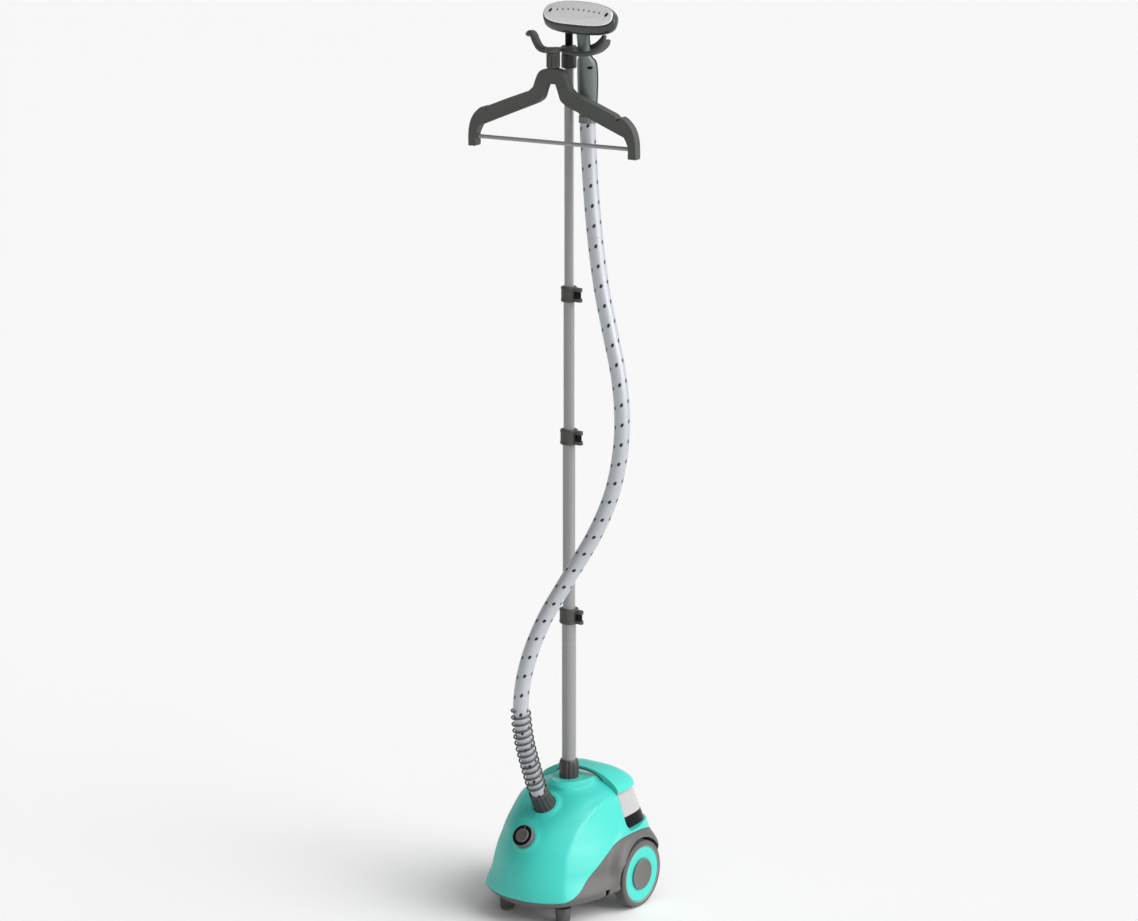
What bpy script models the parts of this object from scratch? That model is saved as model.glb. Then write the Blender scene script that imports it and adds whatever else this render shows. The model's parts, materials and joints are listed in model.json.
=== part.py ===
"""Garment steamer: a wheeled boiler base with a lift-out tank, a telescopic pole, a swivel
hanger, and a steam head on a free hose.

Metres, +Z up. The front faces -Y, X = 0 is the base's plane of symmetry, and the floor is
Z = 0. Heights are absolute; places across the base are measured from the pole's axis.
"""
import math

import bmesh
import bpy
from mathutils import Vector

TAU = 2 * math.pi
GAP = 0.0003                # clearance between touching pieces
UP = Vector((0, 0, 1))

# Body: egg-shaped casing around the pole
BODY_FRONT = 0.165          # furthest reach of the casing ahead of the pole
BODY_REAR = 0.1300          # furthest reach behind the pole
GLAND_LIP = 0.003           # the cord gland's flange stands this far behind the casing
POLE_Y = (BODY_FRONT - BODY_REAR - GLAND_LIP) / 2
BODY_LEVELS = (             # height, half width, reach ahead, reach behind, nose power
    (0.030, 0.084, 0.140, 0.100, 2.20),
    (0.036, 0.106, 0.153, 0.116, 2.30),
    (0.045, 0.122, 0.162, 0.126, 2.35),
    (0.056, 0.129, BODY_FRONT, BODY_REAR, 2.30),
    (0.080, 0.122, 0.162, BODY_REAR, 2.10),
    (0.103, 0.118, 0.157, BODY_REAR, 2.05),
    (0.125, 0.111, 0.149, 0.1295, 2.10),
    (0.142, 0.104, 0.141, 0.1275, 2.10),
    (0.160, 0.097, 0.128, 0.1240, 2.20),
    (0.180, 0.090, 0.101, 0.1200, 2.40),
    (0.197, 0.083, 0.074, 0.1150, 2.70),
    (0.208, 0.072, 0.058, 0.1000, 2.70),
    (0.2170, 0.056, 0.047, 0.0720, 2.40),
    (0.2235, 0.044, 0.043, 0.0460, 2.10),
    (0.2290, 0.036, 0.036, 0.0380, 2.00),
)
BODY_STEPS = 36
EGG_Y = 0.030               # the casing is widest this far behind the pole
TAIL_POWER = 4.0            # fullness of the outline behind that place
FLARE, FLARE_FULL, FLARE_END = 0.013, 0.071, 0.092   # wheel-arch flare, by radius from the axle
WALL = 0.0025
RIM = (                     # the line where the casing meets the tray: y from the pole, z
    (-0.200, 0.050), (-0.140, 0.050), (-0.108, 0.064), (-0.080, 0.087), (-0.040, 0.114),
    (0.000, 0.133), (0.045, 0.1375), (0.085, 0.131), (0.112, 0.118), (0.150, 0.100),
)
FLOOR_TOP = 0.033           # upper face of the tray's floor
SEAM_Y = 0.032              # the tank starts behind this plane
DECK_Z = 0.1405             # the tank stands on this deck

# Running gear
FOOT_X, FOOT_Y, FOOT_TOP, FOOT_R = 0.060, -0.104, 0.0297, 0.0145
WHEEL_R, WHEEL_Y, WHEEL_IN, WHEEL_OUT = 0.060, 0.043, 0.1035, 0.1290
RIM_R = 0.0497
WELL_R, WELL_IN = 0.066, 0.098
AXLE_R = 0.004

# Pole: four tubes, each sliding in the one below
TUBE_OUTER = (0.0125, 0.0110, 0.0095, 0.0080)
TUBE_INNER = (0.0113, 0.0098, 0.0083, 0.0070)
TUBE_SPANS = ((0.100, 0.527), (0.400, 0.849), (0.722, 1.100), (0.973, 1.503))
TUBE_STEPS = 16
CLAMP_DOWN, CLAMP_UP, CLAMP_WALL = 0.014, 0.012, 0.0045
EAR_T = 0.006               # thickness of a clamp's ears
SOCKET_FOOT = 0.2295        # the socket's collar stands on the casing here
PIN_R = 0.0015

# Front fittings on the casing
DIAL_Z, DIAL_R = 0.154, 0.0200
PORT_Z, COLLAR_LENGTH, COLLAR_R = 0.197, 0.036, 0.0205

# Boiler
BOILER_Y, BOILER_R, BOILER_BASE, BOILER_TOP = -0.075, 0.046, FLOOR_TOP + GAP, 0.0850
VALVE_Y = 0.076

# Tank
TANK_GAP = 0.0006
TANK_INSET = 0.0030
TANK_BASE_TOP, TANK_WINDOW_TOP = 0.160, 0.2035
ARCH_LEVELS = (             # the mint tank top: height, half width, reach behind the pole
    (0.2038, 0.0835, 0.1150),
    (0.2120, 0.0800, 0.1120),
    (0.2210, 0.0700, 0.1040),
    (0.2300, 0.0540, 0.0920),
    (0.2365, 0.0350, 0.0760),
    (0.2395, 0.0150, 0.0600),
)
SLOT_HALF, SLOT_LOW, SLOT_SIDE, SLOT_TOP = 0.050, 0.2135, 0.2190, 0.2360

# Pole head
HEAD_Z = 1.487              # underside of the pole-head block
BLOCK_R, BLOCK_TOP = 0.0130, 1.5245
HANGER_Y = -0.046
BARREL_R = 0.0118
BARREL_SPAN = (1.4925, 1.5180)
HANGER_DEPTH = 0.018
BAR_Z, BAR_R, BAR_HALF = 1.366, 0.0035, 0.1448
FORK_Y, FORK_HALF = -0.0155, 0.0200
HANGER_TURN = math.radians(6.5)   # the hanger hangs a little turned about its stem

# Handset
HAND_X, HAND_Y = 0.0430, -0.0062
HANDLE_LEVELS = (           # height, half width, half depth, y of the centre
    (1.4120, 0.0150, 0.0140, HAND_Y),
    (1.4200, 0.0163, 0.0148, HAND_Y),
    (1.4450, 0.0178, 0.0154, HAND_Y),
    (1.4700, 0.0186, 0.0156, HAND_Y),
    (1.4920, 0.0182, 0.0153, -0.0072),
    (1.5040, 0.0165, 0.0145, -0.0095),
    (1.5120, 0.0116, 0.0115, -0.0135),
    (1.5320, 0.0110, 0.0108, -0.0180),
    (1.5780, 0.0125, 0.0108, -0.0235),
)
HANDLE_WALL = 0.0024
PLATE_HALF_W, PLATE_HALF_H, PLATE_T = 0.0690, 0.0220, 0.0030
PLATE_CENTRE = (0.0460, -0.0385, 1.5830)
PLATE_TILT = math.radians(20)
PLATE_POWER = 2.6
COUPLING_TOP, COUPLING_LENGTH = 1.4117, 0.0125
HOSE_END_Z = 1.4085
END_CLEARANCE = 0.0009      # from the hose's end to the floor of its coupling

# Steam hose
HOSE_R = 0.0135
HOSE_SPACING = 0.030
HOSE_ROUTE = (              # x, y from the pole, z
    (0.0000, -0.1150, 0.2780), (0.0000, -0.1370, 0.3400), (0.0010, -0.1460, 0.4050),
    (0.0080, -0.1360, 0.4750), (0.0260, -0.1130, 0.5480), (0.0570, -0.0810, 0.6240),
    (0.0890, -0.0540, 0.6950), (0.1130, -0.0370, 0.7650), (0.1250, -0.0280, 0.8350),
    (0.1270, -0.0240, 0.9050), (0.1180, -0.0220, 0.9750), (0.1000, -0.0205, 1.0450),
    (0.0810, -0.0190, 1.1200), (0.0660, -0.0160, 1.2000), (0.0535, -0.0115, 1.2850),
    (0.0450, -0.0075, 1.3650), (HAND_X, HAND_Y, 1.3985), (HAND_X, HAND_Y, HOSE_END_Z),
)
HOSE_JOIN_Z = 1.200         # the hose is cut here into a lower and an upper length
GUARD_LENGTH, GUARD_OUTER, GUARD_INNER = 0.175, 0.0182, 0.0146
GUARD_CLEARANCE = 0.0045   # from the collar's lip to the guard

# Colours: linear RGB, roughness, metallic
MINT = ((0.09, 0.60, 0.50), 0.30, 0.0)
WARM_GREY = ((0.17, 0.155, 0.15), 0.45, 0.0)
DARK_GREY = ((0.075, 0.08, 0.07), 0.45, 0.0)
HANDSET_GREY = ((0.14, 0.17, 0.16), 0.40, 0.0)
BLACK = ((0.012, 0.012, 0.014), 0.40, 0.0)
TYRE = ((0.035, 0.03, 0.028), 0.60, 0.0)
CLEAR = ((0.72, 0.74, 0.74), 0.12, 0.0)
CHROME = ((0.55, 0.55, 0.55), 0.20, 1.0)
STEEL = ((0.45, 0.45, 0.46), 0.35, 1.0)
PLATE = ((0.78, 0.78, 0.78), 0.28, 1.0)
CAST = ((0.40, 0.40, 0.41), 0.55, 1.0)
BRASS = ((0.60, 0.44, 0.18), 0.35, 1.0)
SILICONE = ((0.55, 0.52, 0.48), 0.60, 0.0)
BRAID = ((0.62, 0.65, 0.70), 0.45, 0.3)


# ---------------------------------------------------------------- helpers

def clear_scene():
    """Remove whatever the scene starts with."""
    for obj in list(bpy.data.objects):
        bpy.data.objects.remove(obj, do_unlink=True)


def at(x, y, z):
    """A world point from its place across the base, measured from the pole's axis."""
    return Vector((x, POLE_Y + y, z))


def smooth(bm, name, finish, angle=35):
    """Turn a bmesh into a smooth-shaded object that has its own material."""
    bmesh.ops.recalc_face_normals(bm, faces=bm.faces)
    mesh = bpy.data.meshes.new(name)
    bm.to_mesh(mesh)
    bm.free()
    mesh.shade_smooth()
    mesh.set_sharp_from_angle(angle=math.radians(angle))
    obj = bpy.data.objects.new(name, mesh)
    bpy.context.collection.objects.link(obj)
    paint(obj, finish)
    return obj


def paint(obj, finish):
    """Give an object a Principled material."""
    if finish is None:
        return
    colour, roughness, metallic = finish
    material = bpy.data.materials.new(obj.name)
    material.use_nodes = True
    shader = material.node_tree.nodes["Principled BSDF"]
    shader.inputs["Base Color"].default_value = (*colour, 1)
    shader.inputs["Roughness"].default_value = roughness
    shader.inputs["Metallic"].default_value = metallic
    obj.data.materials.append(material)


def place(obj, origin, axis=UP):
    """Stand an object on an origin with its own Z along an axis."""
    obj.location = origin
    obj.rotation_euler = UP.rotation_difference(Vector(axis)).to_euler()
    return obj


def tool(obj):
    """Mark an object as a helper for a Boolean."""
    obj.hide_render = True
    obj.display_type = "WIRE"
    return obj


def combine(obj, helper, operation="DIFFERENCE"):
    """Add an exact Boolean with a helper object."""
    step = obj.modifiers.new(operation.title(), "BOOLEAN")
    step.operation = operation
    step.solver = "EXACT"
    step.object = tool(helper)
    return obj


def loft(rings, closed=False):
    """Skin a row of equal rings, with flat ends unless the row closes on itself."""
    bm = bmesh.new()
    rows = [[bm.verts.new(point) for point in ring] for ring in rings]
    pairs = list(zip(rows, rows[1:]))
    if closed:
        pairs.append((rows[-1], rows[0]))
    for low, high in pairs:
        for i in range(len(low)):
            j = (i + 1) % len(low)
            bm.faces.new((low[i], low[j], high[j], high[i]))
    if not closed:
        bm.faces.new(rows[0])
        bm.faces.new(rows[-1])
    return bm


def turned(profile, steps=TUBE_STEPS):
    """Turn (radius, height) points about Z: a solid from axis to axis, else a closed ring."""
    bm = bmesh.new()
    verts = [bm.verts.new((radius, 0, height)) for radius, height in profile]
    edges = [bm.edges.new(pair) for pair in zip(verts, verts[1:])]
    if profile[0][0] > 0:
        edges.append(bm.edges.new((verts[-1], verts[0])))
    bmesh.ops.spin(bm, geom=verts + edges, cent=(0, 0, 0), axis=UP, angle=TAU, steps=steps)
    bmesh.ops.remove_doubles(bm, verts=bm.verts, dist=1e-6)
    return bm


def rod(radius, low, high, steps=TUBE_STEPS):
    """A plain round bar along Z."""
    return turned(((0, low), (radius, low), (radius, high), (0, high)), steps)


def block(low, high, bevel=0.0):
    """A box between two corners, with its edges bevelled."""
    bm = bmesh.new()
    bmesh.ops.create_cube(bm, size=1)
    low = Vector(low)
    high = Vector(high)
    bmesh.ops.scale(bm, vec=high - low, verts=bm.verts)
    bmesh.ops.translate(bm, vec=(low + high) / 2, verts=bm.verts)
    if bevel:
        bmesh.ops.bevel(bm, geom=bm.edges[:], offset=bevel, segments=1, affect="EDGES")
    return bm


def prism(outline, start, end, axis="X"):
    """Push a flat outline from start to end along X (outline in Y, Z), Y (X, Z) or Z (X, Y)."""
    corner = {
        "X": lambda a, b, depth: (depth, a, b),
        "Y": lambda a, b, depth: (a, depth, b),
        "Z": lambda a, b, depth: (a, b, depth),
    }[axis]
    return loft([[corner(a, b, depth) for a, b in outline] for depth in (start, end)])


def spline(points, spacing):
    """Even points along a smooth curve through the given ones."""
    points = [Vector(point) for point in points]
    fine = []
    for i in range(len(points) - 1):
        before = points[i - 1] if i else 2 * points[0] - points[1]
        last = i + 2 >= len(points)
        after = 2 * points[-1] - points[-2] if last else points[i + 2]
        for step in range(16):
            t = step / 16
            fine.append(0.5 * (
                2 * points[i] + (points[i + 1] - before) * t
                + (2 * before - 5 * points[i] + 4 * points[i + 1] - after) * t ** 2
                + (3 * points[i] - before - 3 * points[i + 1] + after) * t ** 3))
    fine.append(points[-1])
    return resample(fine, spacing)


def resample(points, spacing):
    """Points at even distances along a polyline, its two ends included."""
    lengths = [(b - a).length for a, b in zip(points, points[1:])]
    count = max(2, round(sum(lengths) / spacing))
    even = [points[0]]
    walked = 0.0
    index = 0
    for k in range(1, count):
        target = sum(lengths) * k / count
        while walked + lengths[index] < target:
            walked += lengths[index]
            index += 1
        share = (target - walked) / lengths[index]
        even.append(points[index].lerp(points[index + 1], share))
    return even + [points[-1]]


def sweep(path, radius, inner=0.0, steps=12, flat=1.0):
    """A round bar, or a pipe with an inner radius, along a path of points."""
    rings = []
    side = None
    for i, point in enumerate(path):
        ahead = (path[min(i + 1, len(path) - 1)] - path[max(i - 1, 0)]).normalized()
        if side is None:
            side = ahead.orthogonal().normalized()
        side = (side - ahead * side.dot(ahead)).normalized()
        other = ahead.cross(side)
        turns = [TAU * k / steps for k in range(steps)]
        rings.append([(point, side * math.cos(a) + other * math.sin(a) * flat) for a in turns])
    outer = [[point + way * radius for point, way in ring] for ring in rings]
    if not inner:
        return loft(outer)
    hollow = [[point + way * inner for point, way in ring] for ring in reversed(rings)]
    return loft(outer + hollow, closed=True)


def hose_curve(name, path, radius, finish):
    """A free hose: a filled curve tube along a path."""
    curve = bpy.data.curves.new(name, "CURVE")
    curve.dimensions = "3D"
    curve.bevel_depth = radius
    curve.bevel_resolution = 2
    curve.use_fill_caps = True
    line = curve.splines.new("POLY")
    line.points.add(len(path) - 1)
    for point, place_on_path in zip(line.points, path):
        point.co = (*place_on_path, 1)
    obj = bpy.data.objects.new(name, curve)
    bpy.context.collection.objects.link(obj)
    paint(obj, finish)
    return obj


def signed_power(value, power):
    """Keep the sign while raising the size to a power."""
    return math.copysign(abs(value) ** power, value)


def egg_ring(z, half_width, front, rear, power, steps=BODY_STEPS):
    """One level of the casing: a rounded outline that is fuller behind the pole."""
    ring = []
    for i in range(steps):
        angle = TAU * i / steps
        ahead = math.sin(angle) < 0
        curl = 2 / (power if ahead else TAIL_POWER)
        reach = front + EGG_Y if ahead else rear - EGG_Y
        x = half_width * signed_power(math.cos(angle), curl)
        y = EGG_Y + reach * signed_power(math.sin(angle), curl)
        ring.append(Vector((x, y, z)))
    return ring


def arch_flare(point):
    """How far the casing swells sideways round a wheel arch at this point."""
    radius = math.hypot(point.y - WHEEL_Y, point.z - WHEEL_R)
    share = min(1, max(0, (FLARE_END - radius) / (FLARE_END - FLARE_FULL)))
    side = min(1, max(0, (abs(point.x) - 0.06) / 0.03))
    low = min(1, max(0, (point.z - 0.060) / 0.035))
    return FLARE * share * share * (3 - 2 * share) * side * low


def egg(inset=0.0, flared=True):
    """The whole casing as a solid, drawn in by an inset, with or without the arch flares."""
    rings = []
    for z, half_width, front, rear, power in BODY_LEVELS:
        drop = inset * min(1, max(0, (z - 0.10) / 0.08))
        rise = inset if z == BODY_LEVELS[0][0] else 0
        ring = egg_ring(z - drop + rise, half_width - inset, front - inset, rear - inset, power)
        if flared:
            for point in ring:
                point.x += math.copysign(arch_flare(point), point.x)
        rings.append([at(*point) for point in ring])
    return loft(rings)


def front_point(z):
    """The casing's surface on the centre plane ahead of the pole, and its outward normal."""
    for (z0, _, y0, _, _), (z1, _, y1, _, _) in zip(BODY_LEVELS, BODY_LEVELS[1:]):
        if z0 <= z <= z1:
            share = (z - z0) / (z1 - z0)
            normal = Vector((0, -(z1 - z0), y0 - y1)).normalized()
            return at(0, -(y0 + (y1 - y0) * share), z), normal
    raise ValueError("no casing at this height")


def rim_prism(lift):
    """Everything above the rim line, as a helper solid; lift moves the line up."""
    line = spline([(0, y, z) for y, z in RIM], 0.012)
    outline = [(POLE_Y + p.y, p.z + lift) for p in line]
    outline += [(POLE_Y + RIM[-1][0], 0.35), (POLE_Y + RIM[0][0], 0.35)]
    return prism(outline, -0.2, 0.2)


def helper(bm):
    """A Boolean helper made from a bmesh."""
    return tool(smooth(bm, "helper", None))


# ---------------------------------------------------------------- base

def base_tray():
    """Lower tray: floor, wheel arches, and holes for the axle, screws, gland and drain."""
    tray = smooth(egg(), "base_tray", WARM_GREY)
    cavity = helper(egg(0.003))
    for side in (-1, 1):
        liner = rod(WELL_R + 0.003, 0, 0.06, 28)
        combine(cavity, place(helper(liner), at(side * (WELL_IN - 0.003), WHEEL_Y, WHEEL_R),
                              (side, 0, 0)))
    combine(tray, cavity)
    combine(tray, helper(rim_prism(-0.0002)))
    for side in (-1, 1):
        well = helper(rod(WELL_R, 0, 0.06, 28))
        combine(tray, place(well, at(side * WELL_IN, WHEEL_Y, WHEEL_R), (side, 0, 0)))
        slot = block(at(side * 0.123 - 0.016, -0.058, 0.046), at(side * 0.123 + 0.016, -0.048, 0.058))
        combine(tray, helper(slot))
    combine(tray, place(helper(rod(AXLE_R + 0.0003, -0.11, 0.11, 16)),
                        at(0, WHEEL_Y, WHEEL_R), (1, 0, 0)))
    for x, y, radius in ((-0.06, 0.085, 0.0022), (0.06, 0.085, 0.0022), (-0.07, -0.03, 0.0053)):
        combine(tray, place(helper(rod(radius, 0.02, 0.04, 12)), at(x, y, 0)))
    combine(tray, place(helper(rod(0.0063, 0.09, 0.14, 16)), at(-0.035, 0, 0.075), (0, 1, 0)))
    return tray


def main_shell():
    """Upper casing with its tank bay, and holes for the pole, hose port, dial and valve."""
    shell = smooth(egg(), "main_shell", MINT)
    cavity = helper(egg(WALL))
    bay_low = at(-0.2, SEAM_Y, DECK_Z)
    liner_low = at(-0.2, SEAM_Y - WALL, DECK_Z - WALL)
    far = at(0.2, 0.2, 0.3)
    combine(cavity, helper(block(liner_low, far)))
    combine(shell, cavity)
    combine(shell, helper(block(bay_low, far)))
    combine(shell, helper(rim_prism(0.0002)), "INTERSECT")
    combine(shell, place(helper(rod(0.0155, 0.19, 0.24)), at(0, 0, 0)))
    port, lean = front_point(PORT_Z)
    combine(shell, place(helper(rod(0.0163, -0.02, 0.02)), port, lean))
    seat = helper(rod(COLLAR_R + 0.0006, 0.0002, 0.03, 24))
    combine(shell, place(seat, port, lean))
    dial, out = front_point(DIAL_Z)
    combine(shell, place(helper(rod(0.006, -0.02, 0.02, 16)), dial, out))
    combine(shell, place(helper(rod(0.0135, 0.12, 0.15)), at(0, VALVE_Y, 0)))
    return shell


def running_gear():
    """Front feet, and the axle with its two wheels."""
    for side, word in ((-1, "left"), (1, "right")):
        foot = turned(((0, 0), (0.0105, 0), (0.0115, 0.002), (FOOT_R, FOOT_TOP), (0, FOOT_TOP)))
        place(smooth(foot, f"front_foot_{word}", DARK_GREY), at(side * FOOT_X, FOOT_Y, 0))
        wheel(side, word)
    axle = smooth(rod(AXLE_R, -0.1263, 0.1263, 16), "rear_axle", STEEL)
    place(axle, at(0, WHEEL_Y, WHEEL_R), (1, 0, 0))


def wheel(side, word):
    """One wheel: tyre, disc and hub cap, all on the axle's line."""
    hub = bpy.data.objects.new(f"wheel_{word}_axis", None)
    bpy.context.collection.objects.link(hub)
    place(hub, at(0, WHEEL_Y, WHEEL_R), (side, 0, 0))
    inner = RIM_R + GAP
    tyre = turned(((inner, WHEEL_IN + 0.001), (inner, WHEEL_OUT - 0.001), (0.0560, WHEEL_OUT),
                   (WHEEL_R, WHEEL_OUT - 0.004), (WHEEL_R, WHEEL_IN + 0.004),
                   (0.0560, WHEEL_IN)), 32)
    disc = turned(((0.00435, 0.1045), (0.00435, 0.1265), (0.0275, 0.1268), (RIM_R, 0.1262),
                   (RIM_R, 0.1075), (0.012, 0.1075), (0.012, 0.1045)), 24)
    cap = turned(((0, 0.1271), (0.0280, 0.1271), (0.0280, 0.1285), (0.0230, 0.1300),
                  (0, 0.1304)), 24)
    for bm, name, finish in ((tyre, "tyre", TYRE), (disc, "wheel_disc", MINT),
                             (cap, "hub_cap", WARM_GREY)):
        piece = smooth(bm, f"{name}_{word}", finish)
        piece.parent = hub


def small_base_parts():
    """Screws, drain plug and the mains cord's gland."""
    for word, x in (("left", -0.06), ("right", 0.06)):
        screw = turned(((0, 0.0270), (0.004, 0.0274), (0.004, 0.0297), (0.0018, 0.0297),
                        (0.0018, 0.046), (0, 0.046)), 12)
        place(smooth(screw, f"base_screw_{word}", STEEL), at(x, 0.085, 0))
    plug = turned(((0, 0.0262), (0.009, 0.0266), (0.009, 0.0297), (0.0048, 0.0297),
                   (0.0048, 0.040), (0, 0.040)), 16)
    place(smooth(plug, "drain_plug", BLACK), at(-0.07, -0.03, 0))
    face = BODY_REAR + 0.0004
    gland = turned(((0.0036, face - 0.012), (0.0036, face + GLAND_LIP - 0.0004),
                    (0.0082, face + GLAND_LIP - 0.0004), (0.0095, face), (0.0060, face),
                    (0.0060, face - 0.012)), 16)
    place(smooth(gland, "cord_gland", BLACK), at(-0.035, 0, 0.075), (0, 1, 0))


def boiler():
    """The steam circuit inside the base."""
    centre = at(0, BOILER_Y, 0)
    inner = BOILER_R - 0.003
    cup = turned(((0, BOILER_BASE), (BOILER_R, BOILER_BASE), (BOILER_R, BOILER_TOP),
                  (inner, BOILER_TOP), (inner, BOILER_BASE + 0.003), (0, BOILER_BASE + 0.003)), 24)
    cup = place(smooth(cup, "boiler_body", CAST), centre)
    combine(cup, place(helper(rod(0.0032, 0.03, 0.06, 12)), at(0, BOILER_Y, 0.050), (0, 1, 0)))
    lid = smooth(rod(BOILER_R, BOILER_TOP + GAP, BOILER_TOP + 0.005, 24), "boiler_lid", CAST)
    combine(place(lid, centre), place(helper(rod(0.0036, 0.08, 0.1, 12)), centre))
    arc = [at(0.028 * math.sin(a), BOILER_Y - 0.028 * math.cos(a), 0.052)
           for a in [math.radians(-150 + 300 * i / 14) for i in range(15)]]
    smooth(sweep(arc, 0.004, steps=8), "heater_element", STEEL)
    top = BOILER_TOP + 0.005 + GAP
    stat = turned(((0, top), (0.009, top), (0.009, top + 0.005), (0.006, top + 0.007),
                   (0, top + 0.007)), 16)
    place(smooth(stat, "thermostat", STEEL), at(0.024, BOILER_Y, 0))
    port, lean = front_point(PORT_Z)
    collar_foot = port - lean * (0.0125 + GAP)
    path = spline((at(0, BOILER_Y, top), at(0, BOILER_Y, top + 0.012), at(0, BOILER_Y, top + 0.024),
                   collar_foot - lean * 0.02, collar_foot), 0.010)
    smooth(sweep(path, 0.0052, 0.0038, 8), "steam_tube", SILICONE)
    path = spline((at(0, VALVE_Y, 0.1152), at(0, VALVE_Y, 0.075), at(0, VALVE_Y - 0.010, 0.054),
                   at(0, 0.045, 0.046), at(0, 0.010, 0.050),
                   at(0, BOILER_Y + BOILER_R + GAP, 0.050)), 0.016)
    smooth(sweep(path, 0.0042, 0.0030, 8), "feed_tube", SILICONE)


def valve_seat():
    """The cup in the deck that opens the tank's valve."""
    seat = turned(((0.003, 0.1155), (0.003, 0.1280), (0.0105, 0.1280), (0.0105, DECK_Z - 0.0002),
                   (0.0131, DECK_Z - 0.0002), (0.0131, 0.1210), (0.0060, 0.1210),
                   (0.0060, 0.1155)))
    place(smooth(seat, "valve_seat", BLACK), at(0, VALVE_Y, 0))


def hose_port():
    """The ribbed collar that the hose plugs into."""
    port, lean = front_point(PORT_Z)
    collar = turned(((0.006, -0.0125), (0.006, 0.006), (0.0142, 0.006), (0.0142, COLLAR_LENGTH),
                     (0.0178, COLLAR_LENGTH), (COLLAR_R, 0.0006), (0.0158, 0.0006),
                     (0.0158, -0.0125)))
    place(smooth(collar, "hose_collar", DARK_GREY), port, lean)


def dial():
    """The steam dial: a switch inside, and a knob with a ring and a cap outside."""
    centre, out = front_point(DIAL_Z)
    switch = block((-0.012, -0.010, -0.026), (0.012, 0.010, -0.0115), 0.001)
    place(smooth(switch, "dial_switch", BLACK), centre, out)
    knob = turned(((0, -0.0110), (0.003, -0.0110), (0.003, 0.0010), (DIAL_R, 0.0010),
                   (DIAL_R, 0.0110), (0.0185, 0.0125), (0.0175, 0.0125), (0.0175, 0.0105),
                   (0, 0.0105)), 28)
    place(smooth(knob, "dial_knob", WARM_GREY), centre, out)
    ring = turned(((0.0125, 0.0108), (0.0125, 0.0124), (0.0172, 0.0130), (0.0172, 0.0108)), 28)
    place(smooth(ring, "dial_ring", BLACK), centre, out)
    cap = turned(((0, 0.0108), (0.0120, 0.0108), (0.0120, 0.0125), (0.0095, 0.0135),
                  (0, 0.0138)), 24)
    place(smooth(cap, "dial_cap", WARM_GREY), centre, out)


# ---------------------------------------------------------------- tank

def tank_slice(bottom, top, inset):
    """The part of the casing's outline behind the seam, between two heights, as a helper."""
    piece = helper(egg(inset, flared=False))
    low = at(-0.2, SEAM_Y + TANK_GAP + (inset - TANK_INSET), bottom)
    combine(piece, helper(block(low, at(0.2, 0.2, top))), "INTERSECT")
    return piece


def shown(piece, name, finish):
    """Turn a helper into a named part."""
    piece.name = name
    piece.hide_render = False
    piece.display_type = "TEXTURED"
    piece.data.materials.clear()
    paint(piece, finish)
    return piece


def tank():
    """Lift-out water tank: black foot, clear window, handled top, cap and valve plunger."""
    foot_low = DECK_Z + GAP
    foot = shown(tank_slice(foot_low, TANK_BASE_TOP, TANK_INSET), "tank_base", BLACK)
    combine(foot, tank_slice(foot_low + 0.003, TANK_BASE_TOP + 0.01, TANK_INSET + 0.0025))
    combine(foot, place(helper(rod(0.0150, 0.13, 0.15)), at(0, VALVE_Y, 0)))
    window = tank_slice(TANK_BASE_TOP + GAP, TANK_WINDOW_TOP, TANK_INSET)
    window = shown(window, "tank_window", CLEAR)
    combine(window, tank_slice(TANK_BASE_TOP - 0.01, TANK_WINDOW_TOP + 0.01, TANK_INSET + 0.0025))
    tank_top()
    cap = turned(((0.0036, foot_low), (0.0036, 0.1490), (0.0100, 0.1490), (0.0100, 0.1520),
                  (0.0146, 0.1520), (0.0146, foot_low)))
    place(smooth(cap, "tank_cap", DARK_GREY), at(0, VALVE_Y, 0))
    plunger = turned(((0, 0.1300), (0.0030, 0.1300), (0.0030, 0.1494), (0.0080, 0.1494),
                      (0.0080, 0.1512), (0, 0.1512)), 16)
    place(smooth(plunger, "valve_plunger", BRASS), at(0, VALVE_Y, 0))


def tank_top():
    """The tank's top: a dome behind the pole, with a hand slot under its arch."""
    rings = [egg_ring(z, half, rear, rear, TAIL_POWER) for z, half, rear in ARCH_LEVELS]
    top = smooth(loft([[at(*point) for point in ring] for ring in rings]), "tank_top", MINT)
    keep = block(at(-0.2, SEAM_Y + TANK_GAP, 0.20), at(0.2, 0.2, 0.26))
    combine(top, helper(keep), "INTERSECT")
    arch = [(SLOT_HALF * math.cos(a), SLOT_SIDE + (SLOT_TOP - SLOT_SIDE) * math.sin(a))
            for a in [math.pi * i / 14 for i in range(15)]]
    outline = [(SLOT_HALF - 0.004, SLOT_LOW)] + arch + [(0.004 - SLOT_HALF, SLOT_LOW)]
    combine(top, helper(prism(outline, -0.05, 0.25, "Y")))
    return top


# ---------------------------------------------------------------- pole

def pole():
    """The socket, the four tubes and the three flip-lock clamps."""
    socket = turned(((0.0128, 0.0990), (0.0128, 0.2620), (0.0150, 0.2620), (0.0172, 0.2590),
                     (0.0178, 0.2480), (0.0170, SOCKET_FOOT), (0.0152, SOCKET_FOOT), (0.0152, 0.0960),
                     (0.0060, 0.0960), (0.0060, 0.0990)))
    place(smooth(socket, "pole_socket", DARK_GREY), at(0, 0, 0))
    for number, (outer, inner, span) in enumerate(zip(TUBE_OUTER, TUBE_INNER, TUBE_SPANS), 1):
        low, high = span
        tube = turned(((inner, low), (inner, high), (outer, high), (outer, low)))
        place(smooth(tube, f"pole_tube_{number}", CHROME), at(0, 0, 0))
    for number in (1, 2, 3):
        clamp(number)


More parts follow.
